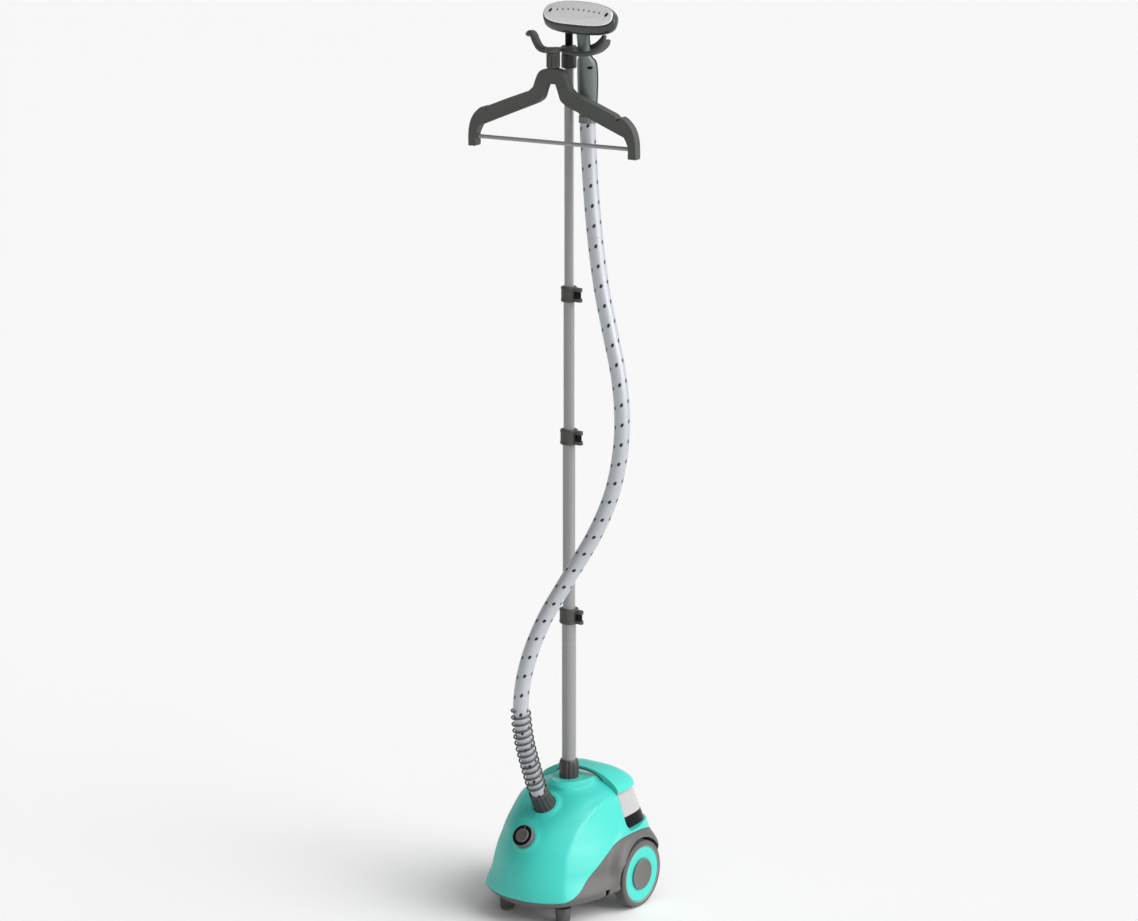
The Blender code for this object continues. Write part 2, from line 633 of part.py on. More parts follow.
def clamp(number):
    """One clamp collar, its lever, and the lever's pin."""
    z = TUBE_SPANS[number - 1][1]
    lower = TUBE_OUTER[number - 1] + 0.0003
    upper = TUBE_OUTER[number] + 0.0003
    outer = TUBE_OUTER[number - 1] + CLAMP_WALL
    pin_x = outer + 0.0065
    collar = turned(((upper, GAP), (upper, CLAMP_UP), (outer - 0.001, CLAMP_UP),
                     (outer, CLAMP_UP - 0.002), (outer, 0.002 - CLAMP_DOWN),
                     (outer - 0.001, -CLAMP_DOWN), (lower, -CLAMP_DOWN), (lower, GAP)))
    collar = place(smooth(collar, f"clamp_{number}", DARK_GREY), at(0, 0, z))
    for low in (CLAMP_UP - EAR_T - 0.001, 0.001 - CLAMP_DOWN):
        ear = block((outer - 0.002, -0.0045, low), (pin_x + 0.0065, 0.0045, low + EAR_T))
        combine(collar, place(helper(ear), at(0, 0, z)), "UNION")
    hole = place(helper(rod(PIN_R + 0.0002, -0.03, 0.03, 10)), at(pin_x, 0, z))
    combine(collar, hole)
    pin = rod(PIN_R, 0.0016 - CLAMP_DOWN, CLAMP_UP - 0.0016, 10)
    place(smooth(pin, f"lever_pin_{number}", STEEL), at(pin_x, 0, z))
    low, high = EAR_T + 0.001 + GAP - CLAMP_DOWN, CLAMP_UP - EAR_T - 0.001 - GAP
    lever = smooth(prism(lever_outline(outer, pin_x), low, high, "Z"), f"lever_{number}", BLACK)
    place(lever, at(pin_x, 0, z))
    combine(lever, place(helper(rod(PIN_R + 0.0002, -0.03, 0.03, 10)), at(pin_x, 0, z)))


def lever_outline(outer, pin_x):
    """A cam round the pin, and an arm that wraps the back of the collar; pin at the origin."""
    cam = [(0.0048 * math.cos(a), 0.0048 * math.sin(a))
           for a in [math.radians(150 + 210 * i / 8) for i in range(9)]]
    wrap = [math.radians(24 + 86 * i / 7) for i in range(8)]
    far = [((outer + 0.0042) * math.cos(a) - pin_x, (outer + 0.0042) * math.sin(a)) for a in wrap]
    near = [((outer + 0.0010) * math.cos(a) - pin_x, (outer + 0.0010) * math.sin(a)) for a in wrap]
    return cam + far + near[::-1]


# ---------------------------------------------------------------- pole head and hanger

def pole_head():
    """The block on the pole's top, with a garment hook, a cradle fork and the hanger's cap."""
    body = smooth(rod(BLOCK_R, HEAD_Z, BLOCK_TOP), "holder", DARK_GREY)
    place(body, at(0, 0, 0))
    cap = helper(turned(((0, BARREL_SPAN[1] + GAP), (0.0128, BARREL_SPAN[1] + GAP),
                         (0.0128, 1.5245), (0.0110, 1.5260), (0, 1.5260))))
    combine(body, place(cap, at(0, HANGER_Y, 0)), "UNION")
    bridge = block(at(-0.006, HANGER_Y, BARREL_SPAN[1] + 0.0010), at(0.006, 0, 1.5235))
    combine(body, helper(bridge), "UNION")
    hook = ((-0.004, -0.024, 1.5200), (-0.028, -0.020, 1.5165), (-0.044, -0.020, 1.5190),
            (-0.053, -0.020, 1.5300), (-0.059, -0.020, 1.5410), (-0.066, -0.020, 1.5430),
            (-0.070, -0.020, 1.5390))
    combine(body, helper(sweep(spline([at(*p) for p in hook], 0.009), 0.0052, steps=8)), "UNION")
    for side, reach in ((-1, 0.098), (1, 0.082)):
        y = FORK_Y + side * FORK_HALF
        prong = ((0.003, -0.016, 1.5200), (0.024, FORK_Y + side * 0.010, 1.5190),
                 (reach - 0.054, y, 1.5195), (reach - 0.036, y, 1.5215), (reach - 0.018, y, 1.5275),
                 (reach - 0.006, y, 1.5380), (reach, y, 1.5480))
        arm = sweep(spline([at(*p) for p in prong], 0.013), 0.0048, steps=8)
        combine(body, helper(arm), "UNION")
    combine(body, place(helper(rod(0.0083, HEAD_Z - 0.01, 1.5040)), at(0, 0, 0)))
    knob = turned(((0, BLOCK_TOP + GAP), (0.0062, BLOCK_TOP + GAP), (0.0062, 1.5490),
                   (0.0098, 1.5505), (0.0098, 1.5600), (0.0080, 1.5625), (0, 1.5625)), 16)
    place(smooth(knob, "top_knob", BLACK), at(0, 0, 0))
    low, high = BARREL_SPAN
    barrel = smooth(rod(BARREL_R, low, high), "hanger_barrel", DARK_GREY)
    place(barrel, at(0, HANGER_Y, 0))
    combine(barrel, place(helper(rod(0.0045, low - 0.01, high - 0.004, 16)), at(0, HANGER_Y, 0)))


def hanger_outline():
    """The hanger's outline in X and Z: one half drawn from the top, then mirrored."""
    upper = ((0.0000, 1.4915), (0.0125, 1.4905), (0.0225, 1.4850), (0.0290, 1.4730),
             (0.0340, 1.4590), (0.0420, 1.4520), (0.1185, 1.4222), (0.1225, 1.4160),
             (0.1275, 1.4160), (0.1305, 1.4190), (0.1415, 1.4130), (0.1525, 1.4000),
             (0.1590, 1.3800), (0.1600, 1.3520), (0.1580, 1.3500))
    lower = ((0.1470, 1.3500), (0.1455, 1.3530), (0.1455, 1.3710), (0.1380, 1.3860),
             (0.0290, 1.4310), (0.0185, 1.4390), (0.0130, 1.4540), (0.0085, 1.4660))
    half = upper + lower
    return list(half) + [(-x, z) for x, z in reversed(half[1:])]


def hanger():
    """The swivel hanger and its trouser bar, turned a little about the stem."""
    half = HANGER_DEPTH / 2
    body = smooth(prism(hanger_outline(), -half, half, "Y"), "hanger", DARK_GREY)
    body.location = at(0, HANGER_Y, 0)
    body.rotation_euler.z = HANGER_TURN
    stem = helper(rod(0.0042, 1.480, BARREL_SPAN[1] - 0.005, 16))
    combine(body, place(stem, at(0, HANGER_Y, 0)), "UNION")
    bar = smooth(rod(BAR_R, -BAR_HALF, BAR_HALF, 12), "hanger_bar", CHROME)
    place(bar, at(0, HANGER_Y, BAR_Z), (math.cos(HANGER_TURN), math.sin(HANGER_TURN), 0))


# ---------------------------------------------------------------- handset

def handle_rings(inset, first=0):
    """Elliptical levels of the handle, drawn in by an inset."""
    rings = []
    for z, half_width, half_depth, y in HANDLE_LEVELS[first:]:
        rings.append([at(HAND_X + (half_width - inset) * math.cos(a),
                         y + (half_depth - inset) * math.sin(a), z)
                      for a in [TAU * i / 20 for i in range(20)]])
    return rings


def plate_frame(u, v, w):
    """A point of the head: u across, v up the plate, w out of it."""
    x, y, z = PLATE_CENTRE
    cos, sin = math.cos(PLATE_TILT), math.sin(PLATE_TILT)
    return at(x + u, y + v * sin - w * cos, z + v * cos + w * sin)


def head_ring(half_width, half_height, w, drop=0.0, steps=24):
    """One rounded outline of the head, w out of the plate's plane."""
    ring = []
    for i in range(steps):
        angle = TAU * i / steps
        u = half_width * signed_power(math.cos(angle), 2 / PLATE_POWER)
        v = half_height * signed_power(math.sin(angle), 2 / PLATE_POWER)
        ring.append(plate_frame(u, v - drop, w))
    return ring


def head_loft(grow):
    """The head housing's outer form, grown by an amount."""
    levels = ((0.0722, 0.0262, 0.0000 + grow, 0.0020), (0.0728, 0.0268, -0.0080, 0.0025),
              (0.0675, 0.0248, -0.0200, 0.0030), (0.0530, 0.0190, -0.0300, 0.0040),
              (0.0330, 0.0115, -0.0345 - grow, 0.0050))
    return loft([head_ring(w + grow, h + grow, out, drop) for w, h, out, drop in levels])


def handset():
    """Steam head and handle: plate, housing, two handle shells, pipe and hose coupling."""
    plate = smooth(loft([head_ring(PLATE_HALF_W, PLATE_HALF_H, 0.0003),
                         head_ring(PLATE_HALF_W, PLATE_HALF_H, 0.0023),
                         head_ring(PLATE_HALF_W - 0.0010, PLATE_HALF_H - 0.0010, PLATE_T)]),
                   "steam_plate", PLATE)
    out = plate_frame(0, 0, 1) - plate_frame(0, 0, 0)
    for i in range(9):
        u = 0.0105 * (i - 4)
        hole = rod(0.0013, -0.01, 0.01, 6)
        combine(plate, place(helper(hole), plate_frame(u, 0.0085 - 1.4 * u * u, 0), out))
    for side in (-1, 1):
        hole = rod(0.0024, -0.01, 0.01, 6)
        combine(plate, place(helper(hole), plate_frame(side * 0.0565, 0.0040, 0), out))
    housing = smooth(head_loft(0), "head_housing", HANDSET_GREY)
    hollow = loft([head_ring(0.0655, 0.0190, 0.01), head_ring(0.0655, 0.0190, -0.010, 0.001),
                   head_ring(0.0460, 0.0140, -0.0260, 0.002)])
    combine(housing, helper(hollow))
    combine(housing, helper(sweep([at(HAND_X, -0.0190, 1.540), at(HAND_X, -0.0230, 1.580)], 0.0062)))
    for name, finish, low, high in (("handle_front", HANDSET_GREY, -0.1, -0.0001),
                                    ("handle_back", BLACK, 0.0001, 0.1)):
        shell = smooth(loft(handle_rings(0)), name, finish)
        combine(shell, helper(loft(handle_rings(HANDLE_WALL, 1))))
        combine(shell, helper(rod_at(0.0060, 1.40, 1.43)))
        combine(shell, helper(head_loft(0.0004)))
        combine(shell, helper(split_side(low, high)), "INTERSECT")
    path = [at(HAND_X, y, z) for z, _, _, y in HANDLE_LEVELS[1:-1]]
    path = [at(HAND_X, HAND_Y, COUPLING_TOP + 0.0008)] + path + [at(HAND_X, -0.0200, 1.5490)]
    smooth(sweep(path, 0.0048, 0.0035, 8), "steam_pipe", SILICONE)
    low = COUPLING_TOP - COUPLING_LENGTH
    coupling = turned(((0.0045, HOSE_END_Z + END_CLEARANCE), (0.0045, COUPLING_TOP), (0.0138, COUPLING_TOP),
                       (0.0155, COUPLING_TOP - 0.002), (0.0160, low), (0.0141, low),
                       (0.0141, HOSE_END_Z + END_CLEARANCE)))
    place(smooth(coupling, "hose_coupling", DARK_GREY), at(HAND_X, HAND_Y, 0))


def rod_at(radius, low, high):
    """An upright bar on the handle's lower axis."""
    bm = rod(radius, low, high, 16)
    bmesh.ops.translate(bm, vec=at(HAND_X, HAND_Y, 0), verts=bm.verts)
    return bm


def split_side(low, high):
    """Half of the handle's space: a solid whose inner face follows the handle's centre line."""
    line = [(POLE_Y + y, z) for z, _, _, y in HANDLE_LEVELS]
    line = [(line[0][0], 1.38)] + line + [(line[-1][0], 1.60)]
    near, far = (high, low) if high < 0 else (low, high)
    outline = [(y + near, z) for y, z in line] + [(y + far, z) for y, z in reversed(line)]
    return prism(outline, -0.05, 0.15)


# ---------------------------------------------------------------- hose

def hose():
    """The free hose in two lengths, and the guard sleeve round its foot."""
    port, lean = front_point(PORT_Z)
    start = port + lean * (0.006 + GAP)
    route = [start, port + lean * 0.036, *[at(*point) for point in HOSE_ROUTE]]
    path = spline(route, HOSE_SPACING)
    cut = min(range(len(path)), key=lambda i: abs(path[i].z - HOSE_JOIN_Z))
    ahead = (path[cut + 1] - path[cut]).normalized()
    hose_curve("steam_hose_lower", path[:cut + 1], HOSE_R, BRAID)
    hose_curve("steam_hose_upper", [path[cut] + ahead * GAP, *path[cut + 1:]], HOSE_R, BRAID)
    fine = spline(route, 0.004)
    first = next(i for i, p in enumerate(fine) if (p - port).dot(lean) > COLLAR_LENGTH + GUARD_CLEARANCE)
    guard = resample(fine[first:first + round(GUARD_LENGTH / 0.004)], 0.018)
    smooth(sweep(guard, GUARD_OUTER, GUARD_INNER, 12), "hose_guard", BLACK)


clear_scene()
base_tray()
main_shell()
running_gear()
small_base_parts()
boiler()
valve_seat()
hose_port()
dial()
tank()
pole()
pole_head()
hanger()
handset()
hose()
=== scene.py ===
"""Looks of the garment steamer: moulded casing, clear tank, chrome pole, hanger, handset and hose.

Metres, +Z up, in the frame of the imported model. The front faces -Y and X = 0 is the base's plane
of symmetry. Heights are absolute; at() measures places across the base from the pole's axis.
"""

import json
import math

import bmesh
import bpy
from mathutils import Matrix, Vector


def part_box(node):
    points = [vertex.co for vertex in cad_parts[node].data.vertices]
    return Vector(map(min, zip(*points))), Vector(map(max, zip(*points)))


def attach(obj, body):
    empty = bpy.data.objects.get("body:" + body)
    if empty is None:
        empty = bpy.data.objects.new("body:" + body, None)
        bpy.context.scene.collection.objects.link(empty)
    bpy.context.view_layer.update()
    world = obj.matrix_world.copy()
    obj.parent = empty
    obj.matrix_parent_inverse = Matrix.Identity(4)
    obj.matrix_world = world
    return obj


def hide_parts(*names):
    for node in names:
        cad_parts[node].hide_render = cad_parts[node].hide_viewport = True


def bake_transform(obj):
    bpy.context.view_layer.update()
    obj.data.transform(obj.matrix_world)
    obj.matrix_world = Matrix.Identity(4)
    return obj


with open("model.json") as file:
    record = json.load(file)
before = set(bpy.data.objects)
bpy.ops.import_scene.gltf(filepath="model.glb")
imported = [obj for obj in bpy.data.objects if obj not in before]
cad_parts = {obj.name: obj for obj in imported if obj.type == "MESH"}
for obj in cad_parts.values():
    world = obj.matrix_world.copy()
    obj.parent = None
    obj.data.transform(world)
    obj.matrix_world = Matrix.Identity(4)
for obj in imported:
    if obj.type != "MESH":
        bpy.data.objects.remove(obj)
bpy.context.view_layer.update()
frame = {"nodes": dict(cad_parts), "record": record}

TAU = 2 * math.pi
UP = Vector((0, 0, 1))
ACROSS = Vector((1, 0, 0))
GAP = 0.0003                # air between two pieces that would touch
FAR, OVER_CASING = 0.2, 0.3     # half width of a wide cutter, and a height above the casing


# -------- places read from the frame

def low_of(node):
    """Lowest corner of a CAD node's box."""
    return Vector(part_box(node)[0])


def high_of(node):
    """Highest corner of a CAD node's box."""
    return Vector(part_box(node)[1])


def middle(node):
    """Centre of a CAD node's box."""
    return (low_of(node) + high_of(node)) / 2


def floor_below(node):
    """The floor's point below a CAD node's centre."""
    return middle(node) * Vector((1, 1, 0))


POLE_Y = middle("pole_tube_1").y


def at(x, y, z):
    """A world point from its place across the base, measured from the pole's axis."""
    return Vector((x, POLE_Y + y, z))


POLE = at(0, 0, 0)


# -------- camera, floor and light

CAMERA_TURN = math.radians(35)
CAMERA_REACH, CAMERA_HEIGHT, AIM_HEIGHT = 6.1, 2.36, 0.805
LENS, SENSOR = 115.2, 36
FLOOR_HALF, FLOOR_DROP = 22, 0.0002
SUNS = (                    # name, the side it comes from, spread in degrees, power
    ("key", (0.95, 0.22, 0.85), 48, 2.0),
    ("side", (0.98, 0.10, 0.16), 30, 0.9),
)
BRIGHT_SIDE = (0.82, 0.57, 0.0)     # the studio is bright on this side and dim on the other
DIM, BRIGHT = 0.10, 0.97
HORIZON, HORIZON_LOW, HORIZON_HIGH = 0.88, 0.06, 0.30   # its light, and the heights where it fades


def placed(name, data):
    """A new object in the scene."""
    obj = bpy.data.objects.new(name, data)
    bpy.context.collection.objects.link(obj)
    return obj


def camera():
    """A long lens, ahead of the object and to its right, looking a little down."""
    data = bpy.data.cameras.new("camera")
    data.lens = LENS
    data.sensor_width = SENSOR
    eye = placed("camera", data)
    eye.location = at(CAMERA_REACH * math.sin(CAMERA_TURN), -CAMERA_REACH * math.cos(CAMERA_TURN),
                      CAMERA_HEIGHT)
    eye.rotation_euler = (at(0, 0, AIM_HEIGHT) - eye.location).to_track_quat("-Z", "Y").to_euler()
    bpy.context.scene.camera = eye


def studio():
    """A pale floor, a studio dome that is brighter on the right, and two large soft lights."""
    bm = bmesh.new()
    bmesh.ops.create_grid(bm, x_segments=2, y_segments=2, size=FLOOR_HALF)
    mesh = bpy.data.meshes.new("floor")
    bm.to_mesh(mesh)
    bm.free()
    floor = placed("floor", mesh)
    floor.location.z = -FLOOR_DROP
    paint, tree, shader, _ = start_material()
    paint.name = "floor"
    dress(tree, shader, Base_Color=(0.93, 0.93, 0.93, 1), Roughness=0.9, Specular_IOR_Level=0.1)
    mesh.materials.append(paint)
    world = bpy.data.worlds.new("studio")
    world.use_nodes = True
    tree = world.node_tree
    way = tree.nodes.new("ShaderNodeTexCoord").outputs["Generated"]
    side = node_of(tree, "ShaderNodeVectorMath", way, BRIGHT_SIDE, operation="DOT_PRODUCT").outputs["Value"]
    height = node_of(tree, "ShaderNodeSeparateXYZ", way).outputs[2]
    dome = ramp(tree, side, -0.8, 0.8, DIM, BRIGHT)
    above = ramp(tree, height, HORIZON_LOW, HORIZON_HIGH)
    blend = node_of(tree, "ShaderNodeMix", above, None, HORIZON, dome, data_type="FLOAT")
    dress(tree, tree.nodes["Background"], Color=(1, 1, 1, 1), Strength=blend.outputs[0])
    bpy.context.scene.world = world
    for name, source, spread, power in SUNS:
        data = bpy.data.lights.new(name, "SUN")
        data.angle = math.radians(spread)
        data.energy = power
        placed(name, data).rotation_euler = Vector(source).to_track_quat("Z", "Y").to_euler()
    bpy.context.scene.view_settings.view_transform = "Standard"


# -------- materials

HOSE_R = 0.0135
BRAID_STRANDS = 26          # strands that cross one turn of the hose each way
FLECK_PITCH = 0.034         # length over which the flecks wind once round the hose
FLECKS_AROUND, FLECK_PHASE = 6, 0.918
FLECK_HALF_WIDTH, FLECK_HALF_LENGTH = 0.0029, 0.0034
# the braid's silver in a shaded and a lit tone (painted shade for the gaps between strands), and the flecks'
# own dark colour
BRAID_PAINTED_SHADE, BRAID_PAINTED_LIT, FLECK = (0.20, 0.212, 0.235), (0.50, 0.52, 0.55), (0.008, 0.009, 0.012)


def feed(tree, socket, value):
    """Link a socket to another, or set its value."""
    if isinstance(value, bpy.types.NodeSocket):
        tree.links.new(value, socket)
    elif value is not None:
        socket.default_value = value


def node_of(tree, kind, *values, **named):
    """A node: values go to its inputs in order, named values to its properties or inputs."""
    node = tree.nodes.new(kind)
    for key, value in named.items():
        if key in node.inputs:
            feed(tree, node.inputs[key], value)
        else:
            setattr(node, key, value)
    for socket, value in zip(node.inputs, values):
        feed(tree, socket, value)
    return node


def dress(tree, shader, **values):
    """Set or link a shader's inputs by their names, written with _ for each space."""
    for name, value in values.items():
        feed(tree, shader.inputs[name.replace("_", " ")], value)


def mixed(tree, factor, dark, light):
    """A colour mix of two colours or sockets."""
    mix = node_of(tree, "ShaderNodeMix", factor, data_type="RGBA")
    for socket, value in ((mix.inputs[6], dark), (mix.inputs[7], light)):
        feed(tree, socket, (*value, 1) if isinstance(value, tuple) else value)
    return mix.outputs[2]


def ramp(tree, factor, low, high, from_value=0.0, to_value=1.0):
    """Map a range of a value to another range, clamped."""
    return node_of(tree, "ShaderNodeMapRange", factor, low, high, from_value, to_value).outputs[0]


def noise(tree, place, scale, detail):
    """Cloudy noise over a place."""
    return node_of(tree, "ShaderNodeTexNoise", place, Scale=scale, Detail=detail).outputs[0]


def drifting(tree, cloud, low, high):
    """A value that drifts between two values with a cloud."""
    return ramp(tree, cloud, 0.3, 0.7, low, high)


def raised(tree, height, strength, distance):
    """A surface direction bumped by a height."""
    return node_of(tree, "ShaderNodeBump", Strength=strength, Distance=distance, Height=height).outputs[0]


def scaled(colour, factor):
    """A colour made darker or lighter."""
    return tuple(min(1, channel * factor) for channel in colour)


def start_material():
    """A new node material, its tree, its shader, and object coordinates."""
    material = bpy.data.materials.new("finish")
    material.use_nodes = True
    tree = material.node_tree
    place = tree.nodes.new("ShaderNodeTexCoord").outputs["Object"]
    return material, tree, tree.nodes["Principled BSDF"], place


def plastic(colour, roughness, wear, grain=900, depth=0.06, coat=0.0, shine=0.5):
    """Moulded plastic: fine spark texture, faint colour drift, lighter worn edges."""
    material, tree, shader, place = start_material()
    drift = noise(tree, place, 9.0, 3.0)
    base = mixed(tree, drift, scaled(colour, 0.95), scaled(colour, 1.05))
    edge = tree.nodes.new("ShaderNodeNewGeometry").outputs["Pointiness"]
    worn = ramp(tree, edge, 0.52, 0.60, 0.0, wear)
    pale = tuple(channel + (1 - channel) * 0.5 for channel in colour)
    dress(tree, shader, Base_Color=mixed(tree, worn, base, pale),
          Roughness=drifting(tree, drift, roughness - 0.04, roughness + 0.05),
          Normal=raised(tree, noise(tree, place, grain, 2.0), depth, 0.0004),
          Specular_IOR_Level=shine, Coat_Weight=coat, Coat_Roughness=0.18)
    return material


def metal(colour, roughness, brushing=(1, 1, 1), depth=0.05, shine=1.0):
    """Metal with a drawn or brushed grain; brushing is small along the grain."""
    material, tree, shader, place = start_material()
    lines = noise(tree, node_of(tree, "ShaderNodeMapping", place, Scale=brushing).outputs[0], 220.0, 3.0)
    cloud = noise(tree, place, 14.0, 2.0)
    dress(tree, shader, Base_Color=mixed(tree, lines, scaled(colour, 0.9), scaled(colour, 1.08)),
          Roughness=drifting(tree, cloud, roughness * 0.85, roughness * 1.2),
          Normal=raised(tree, lines, depth, 0.0002), Metallic=shine)
    return material


def rubber(colour, roughness=0.65):
    """Soft rubber with a cloudy, dusty surface."""
    material = plastic(colour, roughness, grain=420, depth=0.25, wear=0.30)
    tree = material.node_tree
    dress(tree, tree.nodes["Principled BSDF"], Sheen_Weight=0.15)
    return material


def clear_plastic(colour):
    """Clear tank wall, a little milky, with flow marks."""
    material, tree, shader, place = start_material()
    flow = noise(tree, place, 24.0, 2.0)
    dress(tree, shader, Base_Color=mixed(tree, flow, scaled(colour, 0.96), colour),
          Roughness=drifting(tree, flow, 0.10, 0.20), Normal=raised(tree, flow, 0.05, 0.0005),
          Transmission_Weight=0.30, IOR=1.46)
    return material


def braid():
    """Silver textile braid: crossed strands with painted shade in the gaps between them, and dark flecks in a
    slow spiral.
    """
    material, tree, shader, _ = start_material()
    uv = tree.nodes.new("ShaderNodeTexCoord").outputs["UV"]
    around, along, _ = node_of(tree, "ShaderNodeSeparateXYZ", uv).outputs

    def calc(kind, *values):
        return node_of(tree, "ShaderNodeMath", *values, operation=kind).outputs[0]

    def strands(turn):
        phase = calc("ADD", calc("MULTIPLY", around, BRAID_STRANDS * turn),
                     calc("MULTIPLY", along, BRAID_STRANDS / (TAU * HOSE_R)))
        return calc("ABSOLUTE", calc("SINE", calc("MULTIPLY", phase, math.pi)))

    def off_centre(value):
        return calc("SUBTRACT", calc("FRACT", calc("ADD", value, 0.5)), 0.5)

    weave = calc("MAXIMUM", strands(1), strands(-1))
    column = off_centre(calc("ADD", calc("MULTIPLY", around, FLECKS_AROUND), FLECK_PHASE))
    row = off_centre(calc("SUBTRACT", calc("MULTIPLY", along, 1 / FLECK_PITCH), around))
    wide = calc("MULTIPLY", column, TAU * HOSE_R / FLECKS_AROUND / FLECK_HALF_WIDTH)
    long = calc("MULTIPLY", row, FLECK_PITCH / FLECK_HALF_LENGTH)
    reach = calc("SQRT", calc("ADD", calc("MULTIPLY", wide, wide), calc("MULTIPLY", long, long)))
    flecks = ramp(tree, reach, 0.85, 1.10, 1, 0)
    # painted shade: the weave puts the shaded silver in the gaps between strands and the lit silver on their
    # crowns
    silver = mixed(tree, weave, BRAID_PAINTED_SHADE, BRAID_PAINTED_LIT)
    dress(tree, shader, Base_Color=mixed(tree, flecks, silver, FLECK),
          Roughness=ramp(tree, weave, 0.0, 1.0, 0.62, 0.38), Normal=raised(tree, weave, 0.5, 0.0006),
          Metallic=0.40, Sheen_Weight=0.3)
    return material


def make_materials():
    """Every finish, by the record's slot names and a few finer ones."""
    finishes = {
        "mint": plastic((0.038, 0.545, 0.465), 0.42, grain=1500, depth=0.02, wear=0.15, coat=0.12),
        "warm_grey": plastic((0.094, 0.090, 0.086), 0.45, wear=0.25),
        "hub_grey": plastic((0.108, 0.104, 0.099), 0.45, wear=0.25),
        "dark_grey": plastic((0.038, 0.036, 0.034), 0.40, wear=0.10),
        "hanger_grey": plastic((0.052, 0.056, 0.050), 0.55, wear=0.02),
        "handset_grey": plastic((0.125, 0.155, 0.143), 0.30, wear=0.03, coat=0.2),
        "head_grey": plastic((0.024, 0.031, 0.029), 0.24, wear=0.04, coat=0.35),
        "frosted": plastic((0.80, 0.80, 0.80), 0.35, wear=0.0),
        "black": plastic((0.004, 0.004, 0.005), 0.20, wear=0.02, shine=0.10),
        "tyre": rubber((0.032, 0.028, 0.026)),
        "tyre_lip": rubber((0.26, 0.245, 0.235), 0.5),
        "clear": clear_plastic((0.60, 0.59, 0.59)),
        "chrome": metal((0.28, 0.28, 0.28), 0.30, (1, 1, 0.02), shine=0.20),
        "steel": metal((0.45, 0.45, 0.46), 0.35),
        "plate": metal((0.92, 0.92, 0.92), 0.36, (0.03, 1, 1), shine=0.28),
        "cast": metal((0.40, 0.40, 0.41), 0.6, depth=0.4),
        "brass": metal((0.60, 0.44, 0.18), 0.35),
        "silicone": rubber((0.52, 0.49, 0.45), 0.6),
        "braid": braid(),
        "wire": plastic((0.012, 0.012, 0.014), 0.30, wear=0.25),
    }
    for name, material in finishes.items():
        material.name = name
    return finishes


# -------- shape helpers

def loft(rings):
    """Skin a row of equal rings, with flat ends."""
    bm = bmesh.new()
    rows = [[bm.verts.new(point) for point in ring] for ring in rings]
    for low, high in zip(rows, rows[1:]):
        for i in range(len(low)):
            j = (i + 1) % len(low)
            bm.faces.new((low[i], low[j], high[j], high[i]))
    bm.faces.new(rows[0])
    bm.faces.new(rows[-1])
    return bm


def turned(profile, steps):
    """Turn (radius, height) points about Z: a solid from axis to axis, else a closed ring."""
    bm = bmesh.new()
    verts = [bm.verts.new((radius, 0, height)) for radius, height in profile]
    edges = [bm.edges.new(pair) for pair in zip(verts, verts[1:])]
    if profile[0][0] > 0:
        edges.append(bm.edges.new((verts[-1], verts[0])))
    bmesh.ops.spin(bm, geom=verts + edges, cent=(0, 0, 0), axis=UP, angle=TAU, steps=steps)
    bmesh.ops.remove_doubles(bm, verts=bm.verts, dist=1e-6)
    return bm


def rod(radius, low, high, steps=40):
    """A plain round bar along Z, used as a cutter."""
    return turned(((0, low), (radius, low), (radius, high), (0, high)), steps)


def groove(bm, count, depth, low, high):
    """Groove a turned form's side lengthwise between two heights."""
    for vert in bm.verts:
        radius = math.hypot(vert.co.x, vert.co.y)
        if radius < 1e-4 or not low < vert.co.z < high:
            continue
        angle = math.atan2(vert.co.y, vert.co.x)
        dip = depth * (0.5 + 0.5 * math.cos(count * angle)) ** 3
        vert.co.x -= dip * vert.co.x / radius
        vert.co.y -= dip * vert.co.y / radius


def block(low, high):
    """A box between two corners, used as a cutter."""
    bm = bmesh.new()
    bmesh.ops.create_cube(bm, size=1)
    low = Vector(low)
    high = Vector(high)
    bmesh.ops.scale(bm, vec=high - low, verts=bm.verts)
    bmesh.ops.translate(bm, vec=(low + high) / 2, verts=bm.verts)
    return bm


def prism(outline, start, end, axis="X"):
    """Push a flat outline from start to end along X (outline in Y, Z), Y (X, Z) or Z (X, Y)."""
    corner = {
        "X": lambda a, b, depth: (depth, a, b),
        "Y": lambda a, b, depth: (a, depth, b),
        "Z": lambda a, b, depth: (a, b, depth),
    }[axis]
    return loft([[corner(a, b, depth) for a, b in outline] for depth in (start, end)])


def smooth_curve(points, steps):
    """A smooth curve through points of any size, with a number of steps between each two."""
    def mixed_point(a, b, c, d, t):
        return [0.5 * (2 * q + (r - p) * t + (2 * p - 5 * q + 4 * r - s) * t ** 2
                       + (3 * q - p - 3 * r + s) * t ** 3) for p, q, r, s in zip(a, b, c, d)]
    ends = [[2 * p - q for p, q in zip(points[0], points[1])],
            [2 * p - q for p, q in zip(points[-1], points[-2])]]
    padded = [ends[0], *points, ends[1]]
    fine = []
    for i in range(len(points) - 1):
        for step in range(steps):
            fine.append(mixed_point(*padded[i:i + 4], step / steps))
    fine.append(list(points[-1]))
    return fine


def spline(points, spacing):
    """Even points along a smooth curve through the given ones."""
    fine = [Vector(point) for point in smooth_curve([tuple(point) for point in points], 16)]
    return resample(fine, spacing)


def resample(points, spacing):
    """Points at even distances along a polyline, its two ends included."""
    lengths = [(b - a).length for a, b in zip(points, points[1:])]
    count = max(2, round(sum(lengths) / spacing))
    even = [points[0]]
    walked = 0.0
    index = 0
    for k in range(1, count):
        target = sum(lengths) * k / count
        while walked + lengths[index] < target:
            walked += lengths[index]
            index += 1
        share = (target - walked) / lengths[index]
        even.append(points[index].lerp(points[index + 1], share))
    return even + [points[-1]]


def frames_along(path, side):
    """For each point of a path: the point, and two directions square to it that turn least."""
    rows = []
    for i, point in enumerate(path):
        ahead = (path[min(i + 1, len(path) - 1)] - path[max(i - 1, 0)]).normalized()
        if side is None:
            side = ahead.orthogonal().normalized()
        side = (side - ahead * side.dot(ahead)).normalized()
        rows.append((point, side, ahead.cross(side)))
    return rows


